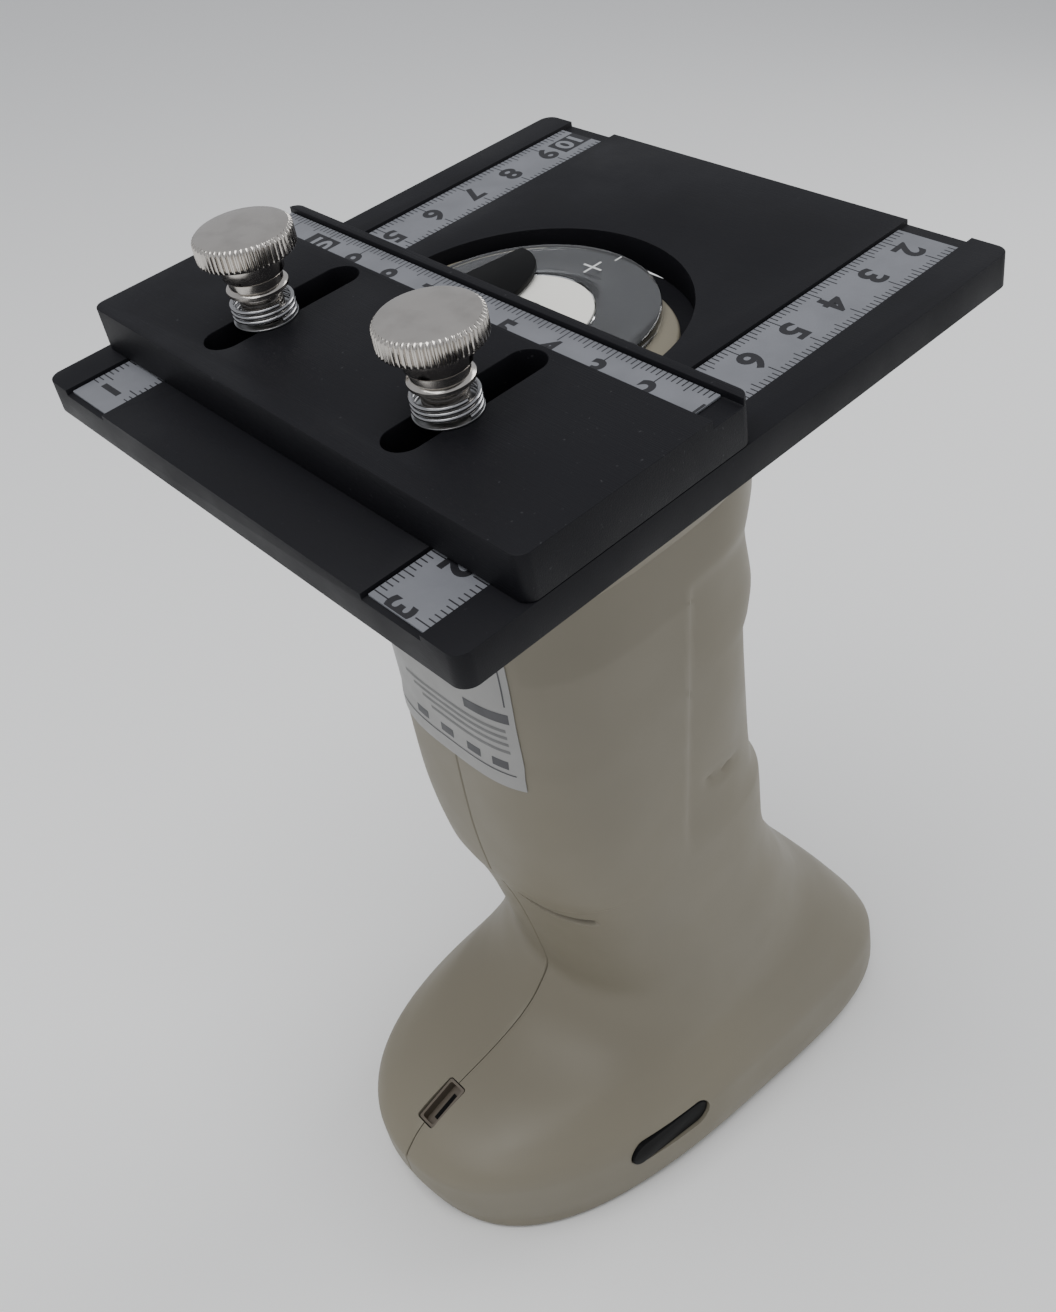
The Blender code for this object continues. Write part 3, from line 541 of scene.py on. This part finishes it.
def make_fence():
    """Sliding fence with two slots, the groove for its rule and a pocket under it for the tongue."""
    low, high = FENCE_Y
    mid = (low + high) / 2
    at = (MID_X, mid, FENCE_TOP - FENCE_THICK / 2)
    fence = thing("fence_body", box_mesh((PLATE[0], high - low, FENCE_THICK), at, FENCE_CORNER, 10))
    for x in SLOT_X:
        cut(fence, box_mesh((SLOT_W, SLOT_L, 20), (x, SLOT_MID, 4), SLOT_W / 2 - 0.01, 16))
    cut(fence, box_mesh((120, FENCE_GROOVE_W, 2 * FENCE_GROOVE_D), (MID_X, RULE_Y, FENCE_TOP)))
    cut(fence, box_mesh((14.4, 10, 3.0), (42.5, high, 0.1)))
    ease(fence, 0.28, 3)
    return show(fence, FENCE_BLACK, "fence", ["fence_plate"])


def make_tab():
    """Black tongue from under the fence, round at its free corner."""
    ring = [(49.4, 51.3), (49.4, 56.5), (51.2, 57.6), (51.2, 62.8)]
    for k in range(1, 16):
        angle = math.radians(90 * k / 16)
        ring.append((40.4 + 10.8 * math.cos(angle) ** 0.85, 62.8 + 12.4 * math.sin(angle) ** 1.25))
    ring += [(40.4, 75.3), (38.9, 64.7), (37.0, 51.3)]
    shape = bmesh.new()
    low = [shape.verts.new((x, y, 0.36)) for x, y in ring]
    high = [shape.verts.new((x, y, 1.44)) for x, y in ring]
    for k in range(len(ring)):
        n = (k + 1) % len(ring)
        shape.faces.new((low[k], low[n], high[n], high[k]))
    shape.faces.new(low)
    shape.faces.new(high)
    tab = ease(thing("fence_tongue", mesh_of(shape)), 0.15, 2)
    return show(tab, BLACK_PLASTIC, "fence", ["fence_tab"])


def make_thumb_screw(side, x):
    """Straight-knurled head on a stepped collar."""
    mesh = lathe_mesh(SCREW_PROFILE, (x, SCREW_Y, 0), 432, KNURL)
    screw = thing(f"screw_{side}_body", mesh)
    body = f"screw_{side}"
    return show(screw, NICKEL, body, [f"thumb_screw_{side}"], 38)


def make_washer(side, x):
    """Flat washer with eased rims."""
    inner, outer = WASHER_R
    low, high = FENCE_TOP + 0.05, FENCE_TOP + 0.35
    profile = rounded([(outer, high), (outer, low), (inner, low), (inner, high)], 0.1)
    item = thing(f"washer_{side}_body", lathe_mesh(profile, (x, SCREW_Y, 0), 72))
    return show(item, ZINC, "instrument", [f"flat_washer_{side}"])


def coil(name, at, radius, wire, turns, pitch, axis="Z"):
    """A round-wire compression spring of even pitch, cut square at its ends."""
    shape = bmesh.new()
    steps = 56
    sides = 14
    rows = []
    total = int(turns * steps)
    for k in range(total + 1):
        angle = 2 * math.pi * k / steps
        out = Vector((math.cos(angle), math.sin(angle), 0))
        centre = out * radius + Vector((0, 0, pitch * k / steps))
        row = []
        for j in range(sides):
            turn = 2 * math.pi * j / sides
            offset = out * math.cos(turn) * wire + Vector((0, 0, math.sin(turn) * wire))
            row.append(shape.verts.new(centre + offset))
        rows.append(row)
    for a, b in zip(rows, rows[1:]):
        for j in range(sides):
            n = (j + 1) % sides
            shape.faces.new((a[j], a[n], b[n], b[j]))
    shape.faces.new(rows[0])
    shape.faces.new(rows[-1])
    mesh = mesh_of(shape)
    if axis == "Y":
        mesh.transform(Matrix.Rotation(-math.pi / 2, 4, "X"))
    mesh.transform(Matrix.Translation(at))
    return thing(name, mesh)


def make_clamp_spring(side, x):
    """Spring between a thumb screw's collar and its washer."""
    start = FENCE_TOP + 0.4 + 0.36
    spring = coil(f"spring_{side}_wire", (x, SCREW_Y, start), *CLAMP_SPRING)
    show(spring, WIRE, "instrument", [f"coil_spring_{side}"], 60)


# ---------------------------------------------------------------- rules


class Marks:
    """Collects flat ink marks for one rule."""

    def __init__(self, z):
        self.z = z
        self.shape = bmesh.new()
        self.white = bmesh.new()

    def bar(self, x0, x1, y0, y1):
        """A flat rectangle of ink."""
        corners = [(x0, y0), (x1, y0), (x1, y1), (x0, y1)]
        self.shape.faces.new([self.shape.verts.new((x, y, self.z)) for x, y in corners])

    def numeral(self, text, x, y, turn, height, white=False, lift=0.0):
        """A numeral centred on a point; turn is 0 for tops towards +y, -90 for tops towards +x."""
        curve = bpy.data.curves.new("numeral", "FONT")
        curve.body = text
        curve.align_x = "CENTER"
        curve.size = height / 0.72
        curve.offset = 0.034 * curve.size
        curve.resolution_u = 6
        item = thing("numeral", curve)
        graph = bpy.context.evaluated_depsgraph_get()
        graph.update()
        mesh = bpy.data.meshes.new_from_object(item.evaluated_get(graph))
        bpy.data.objects.remove(item)
        mesh.transform(Matrix.Translation((0, -height / 2, 0)))
        mesh.transform(Matrix.Rotation(math.radians(turn), 4, "Z"))
        mesh.transform(Matrix.Translation((x, y, self.z + lift)))
        (self.white if white else self.shape).from_mesh(mesh)

    def boxed(self, x, y, turn, height, wide):
        """A reversed numeral in a dark box, for the full ten."""
        across = (wide, height + 1.4) if turn == 0 else (height + 1.4, wide)
        self.bar(x - across[0] / 2, x + across[0] / 2, y - across[1] / 2, y + across[1] / 2)
        self.numeral("10", x, y, turn, height, True, 0.006)

    def done(self, name, body, limits):
        """Trims the marks to the tape and shows them."""
        for shape, tag, ink in ((self.shape, "ink", INK), (self.white, "light", WHITE_INK)):
            for at, way in limits:
                bmesh.ops.bisect_plane(
                    shape,
                    geom=shape.verts[:] + shape.edges[:] + shape.faces[:],
                    plane_co=at,
                    plane_no=way,
                    clear_outer=True,
                )
            if not shape.faces:
                shape.free()
                continue
            for face in shape.faces:
                if face.normal.z < 0:
                    face.normal_flip()
            mesh = bpy.data.meshes.new(name)
            shape.to_mesh(mesh)
            shape.free()
            item = thing(f"{name}_{tag}", mesh)
            show(item, ink, body)


def tick_length(k):
    """Length of a millimetre, half-centimetre or centimetre tick."""
    if k % 10 == 0:
        return 3.1
    return 2.3 if k % 5 == 0 else 1.55


def make_side_rule(side, x, first, numerals):
    """A rule in a plate groove, graduated along both edges."""
    z = -GROOVE_D + RULE_LIFT
    at = (x, SIDE_RULE_MID, z + SIDE_RULE[2] / 2)
    rule = thing(f"rule_{side}_tape", box_mesh(SIDE_RULE, at, 0.2, 3))
    ease(rule, 0.06, 1)
    show(rule, TAPE, "instrument", [f"scale_{side}"])
    marks = Marks(z + INK_LIFT)
    for k in range(-2, 120):
        y = first + k
        if not 1.4 < y < 116.6:
            continue
        long = tick_length(k)
        marks.bar(x - 5.9, x - 5.9 + long, y - TICK_HALF, y + TICK_HALF)
        marks.bar(x + 5.9 - long, x + 5.9, y - TICK_HALF, y + TICK_HALF)
    for text, y in numerals:
        if text == "10":
            marks.boxed(x - 0.2, y, -90, 4.2, 7.6)
        else:
            marks.numeral(text, x - 0.2, y, -90, 5.0)
    limits = [((0, 1.1, 0), (0, -1, 0)), ((0, 116.95, 0), (0, 1, 0))]
    marks.done(f"rule_{side}_marks", "instrument", limits)


def make_fence_rule():
    """The fence's narrow rule: graduated along its far edge, its numerals trimmed at the near one."""
    z = FENCE_TOP - FENCE_GROOVE_D + RULE_LIFT
    at = (FENCE_RULE_MID, RULE_Y, z + FENCE_RULE[2] / 2)
    rule = thing("fence_rule_tape", box_mesh(FENCE_RULE, at, 0.15, 2))
    ease(rule, 0.06, 1)
    show(rule, TAPE, "fence", ["fence_scale"])
    marks = Marks(z + INK_LIFT)
    edge = RULE_Y + FENCE_RULE[1] / 2
    for k in range(0, 106):
        x = 106.0 - k
        if 1.3 < x < 105.7:
            marks.bar(x - TICK_HALF, x + TICK_HALF, edge - tick_length(k), edge - 0.05)
    for n in range(1, 11):
        x = 66.0 + (5 - n) * 10.0
        if n == 10:
            marks.boxed(x, 49.1, 0, 4.0, 7.0)
        else:
            marks.numeral(str(n), x, 48.7, 0, 4.8)
    limits = [
        ((0, RULE_Y - 2.95, 0), (0, -1, 0)),
        ((105.95, 0, 0), (1, 0, 0)),
        ((1.05, 0, 0), (-1, 0, 0)),
    ]
    marks.done("fence_rule_marks", "fence", limits)


# ---------------------------------------------------------------- port


def make_port():
    """Clear ring, white port disc and the small frosted marks on the ring."""
    inner, outer = RING_R
    low, high = RING_Z
    profile = rounded([(outer, high), (outer, low), (inner, low), (inner, high)], 0.35)
    ring = thing("target_ring_body", lathe_mesh(profile, (MID_X, PORT_Y, 0), 180))
    show(ring, CLEAR, "instrument", ["target_ring"])
    profile = [(12.58, -0.12), (12.6, -4.0), (5.6, -4.0), (4.0, -1.2), (4.0, -0.12)]
    disc = thing("port_disc_body", lathe_mesh(rounded(profile, 0.2), (MID_X, PORT_Y, 0), 120))
    show(disc, WHITE, "instrument", ["aperture_disc"])
    profile = [(23.6, -2.19), (23.6, -2.27), (12.9, -2.27), (12.9, -2.19)]
    backing = thing("ring_backing", lathe_mesh(profile, (MID_X, PORT_Y, 0), 120))
    show(backing, BACKING, "instrument")
    marks = thing("ring_marks", box_mesh((0.42, 4.2, 0.04), (54.5, 78.8, -0.12)))
    cut(marks, box_mesh((4.2, 0.42, 0.04), (54.5, 78.8, -0.12)), "UNION")
    notch = thing("ring_notch", box_mesh((0.3, 1.6, 0.04), (56.3, 83.4, -0.12)))
    show(notch, FROST, "instrument")
    show(marks, FROST, "instrument")


# ---------------------------------------------------------------- housing


def station_curve(depths):
    """The housing's section values at each depth, smooth between the stations."""
    x = STATIONS[:, 0]
    step = np.diff(x)[:, None]
    slope = np.diff(STATIONS[:, 1:], axis=0) / step
    tangent = np.zeros_like(STATIONS[:, 1:])
    tangent[0], tangent[-1] = slope[0], slope[-1]
    left, right = slope[:-1], slope[1:]
    same = left * right > 0
    w1 = 2 * step[1:] + step[:-1]
    w2 = step[1:] + 2 * step[:-1]
    safe_left = np.where(same, left, 1.0)
    safe_right = np.where(same, right, 1.0)
    tangent[1:-1] = np.where(same, (w1 + w2) / (w1 / safe_left + w2 / safe_right), 0.0)
    made = []
    for d in depths:
        i = int(np.clip(np.searchsorted(x, d) - 1, 0, len(x) - 2))
        h = x[i + 1] - x[i]
        t = (d - x[i]) / h
        value = (
            (2 * t**3 - 3 * t**2 + 1) * STATIONS[i, 1:]
            + (t**3 - 2 * t**2 + t) * h * tangent[i]
            + (-2 * t**3 + 3 * t**2) * STATIONS[i + 1, 1:]
            + (t**3 - t**2) * h * tangent[i + 1]
        )
        made.append(value)
    return made


def step_up(value, low, high):
    """0 below low, 1 above high, smooth between."""
    t = min(1.0, max(0.0, (value - low) / (high - low)))
    return t * t * (3 - 2 * t)


def crease(across, depth):
    """The sharp groove across the front of the grip, wider towards its ends."""
    lip = CREASE_LIP + CREASE_FALL * across
    reach = 0.4 + 2.2 * step_up(across, 2.0, 19.0)
    upper = step_up(depth, lip, lip + 0.3)
    lower = 1 - step_up(depth, lip + 0.4 + 0.5 * reach, lip + 0.9 + reach)
    ends = (1 - step_up(across, 19.4, 20.8)) * step_up(across, -2.0, 6.0)
    return upper * lower * CREASE_DEEP * ends


def fold(across, depth):
    """The shallow hollow below the crease."""
    upper = step_up(depth, 120.0, 120.6)
    lower = 1 - step_up(depth, 126.0, 146.0)
    return upper * lower * FOLD_DEEP * (1 - step_up(across, 20.0, 27.0))


def shoulder(across, y, depth):
    """The sides' inset under the nose cover."""
    sunk = SHOULDER_SLOPE * max(0.0, SHOULDER_DEPTH - depth) * step_up(across, 18.6, 21.0)
    return sunk * (1 - step_up(y, 72.0, 86.0))


def side_panel(y, depth):
    """The set-back panel on each side of the grip."""
    line = 66.4 - (depth - 55.0) * 0.12
    edge = step_up(y, line - 0.7, line + 0.7) * step_up(depth, 49.0, 54.0)
    return edge * (1 - step_up(depth, 108.0, 122.0)) * (1 - step_up(y, 78.0, 90.0)) * PANEL_DEEP


def finger_dent(y, depth):
    """The narrow slanting dent in the side panel."""
    dent = math.exp(-(((depth - 105.5 - (y - 72) * 0.25) / 1.3) ** 2))
    return dent * step_up(y, 65.0, 69.0) * (1 - step_up(y, 76.0, 80.0))


def relief(x, y, depth):
    """How far the housing's surface is set in at a point."""
    across = abs(x - MID_X)
    front = (crease(across, depth) + fold(across, depth)) * (1 - step_up(y, 44.0, 56.0))
    return front + shoulder(across, y, depth) + side_panel(y, depth) + finger_dent(y, depth)


def superpower(value, exponent):
    """A signed power."""
    return math.copysign(abs(value) ** exponent, value)


def ring_point(values, depth, angle, inset, relieved=True):
    """One point of the housing's outline."""
    front, back, half, widest, front_n, back_n, lean = values
    n = front_n if math.sin(angle) < 0 else back_n
    c, s = superpower(math.cos(angle), n / 2), superpower(math.sin(angle), n / 2)
    c, s = c / math.hypot(c, s), s / math.hypot(c, s)
    reach = widest - front if s < 0 else back - widest
    dx, dy = superpower(c, 2 / n), superpower(s, 2 / n)
    x = MID_X + (half - inset) * dx
    y = widest + (reach - inset) * dy
    if relieved:
        sunk = relief(x, y, depth)
        x -= sunk * dx
        y -= sunk * dy
    return Vector((x, y, -depth - lean * math.tan(TILT) * (y - LEAN_Y)))


def housing_depths():
    """Ring heights, closer together at the creases and the rims."""
    marks = [37.3, 37.5, 38.0]
    marks += list(np.arange(39.5, 49.0, 1.75))
    marks += list(np.arange(49.5, 54.5, 0.8))
    marks += list(np.arange(55.5, 118.5, 1.75))
    marks += list(np.arange(119.6, 128.6, 0.22))
    marks += list(np.arange(129.5, 160.0, 1.75))
    marks += list(np.arange(161.0, 203.5, 0.9))
    marks += [204.0, 204.6, 205.1, 205.5, STATIONS[-1, 0]]
    return marks


def half_section(values, depth, side):
    """Closed section of one half: outside, round the seam edge, then the inside."""
    lean = values[-1]
    drop = WALL * min(1.0, lean * 8) * (1.0 - 0.6 * lean)
    inner_depth = depth + drop if depth < 200 else depth
    wall = WALL if depth < 200 else FACE_WALL
    angles = [-math.pi / 2 + math.pi * k / HALF_STEPS for k in range(HALF_STEPS + 1)]
    outer = [ring_point(values, depth, angle, 0.0) for angle in angles]
    inner = [ring_point(values, inner_depth, angle, wall, False) for angle in angles]
    near = [seam_point(outer[0], 0.09, 0.32, -1), seam_point(outer[0], 0.34, 0.03, -1)]
    far = [seam_point(outer[-1], 0.34, 0.03, 1), seam_point(outer[-1], 0.09, 0.32, 1)]
    inner[0].x = inner[-1].x = MID_X + 0.09
    points = near + outer[1:-1] + far + list(reversed(inner))
    if side < 0:
        for p in points:
            p.x = 2 * MID_X - p.x
    return points


def seam_point(point, dx, sink, way):
    """A point beside the parting line, eased into it."""
    return Vector((MID_X + dx, point.y - way * sink, point.z))


def make_half(side):
    """One half of the housing as a closed hollow moulding."""
    depths = housing_depths()
    curve = station_curve(depths)
    shape = bmesh.new()
    rows = []
    for depth, values in zip(depths, curve):
        section = half_section(values, depth, side)
        rows.append([shape.verts.new(p) for p in section])
    size = len(rows[0])
    for a, b in zip(rows, rows[1:]):
        for k in range(size):
            n = (k + 1) % size
            shape.faces.new((a[k], a[n], b[n], b[k]))
    for row in (rows[0], rows[-1]):
        for k in range(size // 2 - 1):
            shape.faces.new((row[k], row[k + 1], row[size - 2 - k], row[size - 1 - k]))
    name = "right" if side > 0 else "left"
    shell = thing(f"housing_{name}", mesh_of(shape))
    cut_housing(shell, side)
    show(shell, CREAM, "instrument", [f"shell_{name}"], 34)


def socket_tool(grow, depth, lift):
    """A rounded block along the socket's axis."""
    at = (
        MID_X,
        PORT_AT[0] - lift * math.sin(PORT_LEAN),
        -PORT_AT[1] + lift * math.cos(PORT_LEAN),
    )
    size = (SOCKET_SIZE[0] + 2 * grow, SOCKET_SIZE[1] + 2 * grow, depth)
    return box_mesh(size, at, 0.5 + max(0.0, grow), 4, Matrix.Rotation(PORT_LEAN, 4, "X"))


def oval_tool(grow, thick, lift=0.0):
    """The power button's oval."""
    turn = Matrix.Rotation(math.radians(-4.4), 4, "Z") @ Matrix.Rotation(math.radians(-9), 4, "X")
    turn = turn @ Matrix.Rotation(math.pi / 2, 4, "Y")
    size = (POWER_SIZE[0] + 2 * grow, POWER_SIZE[1] + 2 * grow, thick)
    at = (MID_X + POWER_OUT + lift, POWER_AT[0], -POWER_AT[1])
    return box_mesh(size, at, POWER_SIZE[0] / 2 - 0.01 + grow, 12, turn)


def cut_housing(shell, side):
    """Button, socket, switch and screw openings."""
    low, high = BUTTON_H
    cut(shell, box_mesh((BUTTON_W, 24, high - low), (MID_X, 93, -(low + high) / 2)))
    cut(shell, socket_tool(0.25, 14.0, 0.0))
    if side > 0:
        cut(shell, oval_tool(0.25, 20))
        return
    for y, depth, reach in SHELL_SCREWS:
        seat = MID_X - reach + 5.5
        cut(shell, rod_mesh(2.9, 30, (seat - 15, y, -depth), "X", 32))


def nose_curve():
    """Rings of the nose cover from the neck's top to the skirt's edge."""
    rings = []
    for z, sink in ((2.3, 0.5), (2.45, 0.2), (2.8, 0.0), (6.0, 0.0), (9.0, 0.0), (11.6, 0.0)):
        ring = []
        for k in range(RING_STEPS):
            angle = 2 * math.pi * k / RING_STEPS
            x = MID_X + (NECK_HALF[0] - sink) * superpower(math.cos(angle), 2 / NECK_SQUARE)
            y = PORT_Y + (NECK_HALF[1] - sink) * superpower(math.sin(angle), 2 / NECK_SQUARE)
            ring.append(Vector((x, y, -z)))
        rings.append(ring)
    for depth, front, back, half in SKIRT:
        values = (front, back, half, 60, 2.9, 3.0, 0)
        ring = []
        for k in range(RING_STEPS):
            ring.append(ring_point(values, depth, 2 * math.pi * k / RING_STEPS, 0, False))
        rings.append(ring)
    return rings


def make_nose():
    """Nose cover: neck, flare and skirt, hollow below and bored for the port."""
    outer = nose_curve()
    shape = bmesh.new()
    centre = Vector((MID_X, PORT_Y, 0))
    inner = []
    for ring in reversed(outer[3:]):
        inner.append([p + (centre - Vector((p.x, p.y, 0))).normalized() * WALL for p in ring])
    for ring in inner:
        for p in ring:
            p.z = min(p.z, -4.6)
    rows = [[shape.verts.new(p) for p in ring] for ring in outer + inner]
    for a, b in zip(rows, rows[1:]):
        for k in range(RING_STEPS):
            n = (k + 1) % RING_STEPS
            shape.faces.new((a[k], a[n], b[n], b[k]))
    shape.faces.new(rows[0])
    shape.faces.new(rows[-1])
    nose = thing("nose_body", mesh_of(shape))
    cut(nose, rod_mesh(12.8, 12, (MID_X, PORT_Y, -3), sides=96))
    show(nose, CREAM, "instrument", ["nose_cover"], 34)


def front_y(x, values, lift):
    """Where the front of the grip is at x, just outside the surface."""
    front, _, half, widest, front_n = values[:5]
    share = min(0.999, abs(x - MID_X) / half)
    y = widest - (widest - front) * (1 - share**front_n) ** (1 / front_n)
    return y - lift


def label_patch(name, spots, lift, thick=0.0):
    """Strips that follow the front of the grip; spots are (x0, x1, depth0, depth1)."""
    shape = bmesh.new()
    for x0, x1, d0, d1 in spots:
        cols = max(2, int(abs(x1 - x0)) + 1)
        rows = max(2, int(abs(d1 - d0) / 3.0) + 1)
        depths = np.linspace(d0, d1, rows)
        curve = station_curve(depths)
        grid = []
        for depth, values in zip(depths, curve):
            line = []
            for x in np.linspace(x0, x1, cols):
                y = front_y(x, values, lift)
                line.append(shape.verts.new((x, y, -depth)))
            grid.append(line)
        for a, b in zip(grid, grid[1:]):
            for k in range(cols - 1):
                shape.faces.new((a[k], a[k + 1], b[k + 1], b[k]))
    mesh = bpy.data.meshes.new(name)
    bmesh.ops.recalc_face_normals(shape, faces=shape.faces)
    for face in shape.faces:
        if face.normal.y > 0:
            face.normal_flip()
    shape.to_mesh(mesh)
    shape.free()
    item = thing(name, mesh)
    if thick:
        made = item.modifiers.new("film", "SOLIDIFY")
        made.thickness = thick
        made.offset = -1.0
        bake(item)
    return item


def make_label():
    """Blank rating label: a frame, a dark bar and rows of short bars, with no text."""
    film = label_patch("label_sheet", [(37.0, 73.0, 42.0, 80.0)], 0.30, 0.2)
    show(film, LABEL, "instrument", ["rating_label"])
    dark = [(62.0, 72.0, 60.4, 62.8), (56.0, 71.8, 47.0, 47.4), (71.5, 71.8, 47.0, 58.5)]
    dark += [(38.5, 71.5, 76.2, 76.5)]
    for x in (45.0, 52.5, 60.0, 66.5):
        dark.append((x, x + 3.6, 73.2, 75.2))
    grey = []
    for k, depth in enumerate((64.4, 66.2, 68.0, 70.0)):
        grey.append((44.0 + 2.2 * k, 71.0, depth, depth + 0.8))
    for k in range(3):
        grey.append((40.0, 58.0 - 3 * k, 50.0 + 2.4 * k, 50.7 + 2.4 * k))
    ink = label_patch("label_bars", dark, 0.335)
    show(ink, LABEL_INK, "instrument")
    rows = label_patch("label_rows", grey, 0.335)
    show(rows, LABEL_GREY, "instrument")


def make_controls():
    """Measuring button, power button and socket."""
    low, high = BUTTON_H
    mid = -(low + high) / 2
    size = (BUTTON_W - 2 * BUTTON_GAP, 4.0, high - low - 2 * BUTTON_GAP)
    button = thing("measure_button_body", box_mesh(size, (MID_X, 88.5, mid)))
    ease(button, 1.0, 4)
    cut(button, rod_mesh(3.9, 4.6, (MID_X, 86.5, mid), "Y", 48))
    cut(button, rod_mesh(1.5, 6.0, (MID_X, 85.9, mid), "Y", 32), "UNION")
    show(button, CREAM_KEY, "measuring_button", ["measure_button"])
    power = thing("power_button_body", oval_tool(0.0, 3.4, -0.5))
    ease(power, 0.5, 3)
    show(power, BLACK_PLASTIC, "power_switch", ["power_button"])
    socket = thing("socket_shell", socket_tool(0.0, 6.4, -3.6))
    cut(socket, socket_tool(-0.55, 9.0, 1.6))
    show(socket, SOCKET, "instrument", ["port_socket"])
    tongue = thing("socket_tongue", box_mesh((0.9, 6.4, 3.6), (0, 0, 0), 0.1, 2))
    tongue.data.transform(Matrix.Rotation(PORT_LEAN, 4, "X"))
    at = (MID_X, PORT_AT[0] + 4.4 * math.sin(PORT_LEAN), -PORT_AT[1] - 4.4 * math.cos(PORT_LEAN))
    tongue.data.transform(Matrix.Translation(at))
    show(tongue, BLACK_PLASTIC, "instrument")


def make_button_spring():
    """Spring behind the measuring button."""
    middle = -(BUTTON_H[0] + BUTTON_H[1]) / 2
    spring = coil("measure_spring_wire", (MID_X, 81.1, middle), *BUTTON_SPRING, "Y")
    show(spring, WIRE, "instrument", ["measure_spring"], 60)


# ---------------------------------------------------------------- the rest of the frame

FINISHES = {
    "mount_collar": PLATE_BLACK,
    "battery_cell": SLEEVE,
    "battery_tray": BLACK_PLASTIC,
    "display_bezel": GREY,
    "display_panel": DISPLAY,
    "display_window": CLEAR,
    "lamp_board": BOARD,
    "main_board": BOARD,
    "measure_switch": BLACK_PLASTIC,
    "sensor_barrel": BLACK_PLASTIC,
    "sphere_lower": WHITE,
    "sphere_upper": WHITE,
}


def finish_for(name):
    """The finish of a CAD node that is shown as it is."""
    if name.startswith("menu_key"):
        return GREY
    if name.startswith(("collar_screw", "shell_screw")):
        return ZINC
    return FINISHES[name]


def paint_frame():
    """Paints each CAD node that is still shown."""
    for name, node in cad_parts.items():
        if node.hide_render:
            continue
        node.data.materials.clear()
        node.data.materials.append(finish_for(name))
        smooth(node, 30)


# ---------------------------------------------------------------- studio


def studio():
    """Pale floor, soft sky and three soft lights."""
    shape = bmesh.new()
    bmesh.ops.create_grid(shape, x_segments=1, y_segments=1, size=6.0)
    floor = thing("floor", mesh_of(shape))
    paint = Paint("floor_paper", (0.92, 0.92, 0.91), 0.9)
    floor.data.materials.append(paint.material)
    world = bpy.data.worlds.new("soft_sky")
    world.use_nodes = True
    world.node_tree.nodes["Background"].inputs["Color"].default_value = (0.93, 0.95, 1.0, 1)
    world.node_tree.nodes["Background"].inputs["Strength"].default_value = 0.56
    bpy.context.scene.world = world
    soft_light("key_light", (0.02, -0.42, 1.0), (0.0, -0.03, 0.1), 0.7, 7.0)
    soft_light("fill_light", (0.75, -0.6, 0.55), (0.0, 0.0, 0.12), 0.8, 0.3)
    soft_light("rim_light", (0.15, 0.9, 0.6), (0.0, 0.0, 0.15), 0.6, 4.0)


def soft_light(name, at, target, width, power):
    """A square area light aimed at a point."""
    data = bpy.data.lights.new(name, "AREA")
    data.size = width
    data.energy = power
    lamp = bpy.data.objects.new(name, data)
    lamp.location = at
    lamp.rotation_euler = (Vector(target) - Vector(at)).to_track_quat("-Z", "Y").to_euler()
    bpy.context.scene.collection.objects.link(lamp)


def aim_camera():
    """Camera close above the near right corner, level, its frame shifted down."""
    data = bpy.data.cameras.new("camera")
    data.sensor_fit = "HORIZONTAL"
    data.sensor_width = 36.0
    data.lens = 48.54
    data.shift_y = -0.1477
    data.clip_start = 0.01
    camera = bpy.data.objects.new("camera", data)
    forward = Vector((-0.6404, 0.5822, -0.5009)).normalized()
    right = forward.cross(Vector((0, 0, 1))).normalized()
    up = right.cross(forward)
    turn = Matrix((right, up, -forward)).transposed().to_4x4()
    camera.matrix_world = Matrix.Translation((0.164914, -0.168924, 0.295806)) @ turn
    bpy.context.scene.collection.objects.link(camera)
    bpy.context.scene.camera = camera


# ---------------------------------------------------------------- everything

make_plate()
make_fence()
make_tab()
for side_name, screw_x in zip(("left", "right"), SLOT_X):
    make_thumb_screw(side_name, screw_x)
    make_washer(side_name, screw_x)
    make_clamp_spring(side_name, screw_x)

# each numeral with its place along the rule
near_right = [("1", 22.1), ("2", 12.1), ("3", 1.9), ("10", 32.1)]
near_right += [(str(n), 72.1 + (6 - n) * 10) for n in range(2, 10)]
make_side_rule("right", GROOVE_X[1], 2.1, near_right)
far_left = [(str(n), 77.2 + (n - 6) * 10) for n in range(2, 10)]
far_left += [("10", 113.6), ("1", 5.4)]
make_side_rule("left", GROOVE_X[0], 7.2, far_left)
make_fence_rule()
make_port()

make_nose()
make_half(1)
make_half(-1)
make_label()
make_controls()
make_button_spring()
paint_frame()

studio()
aim_camera()
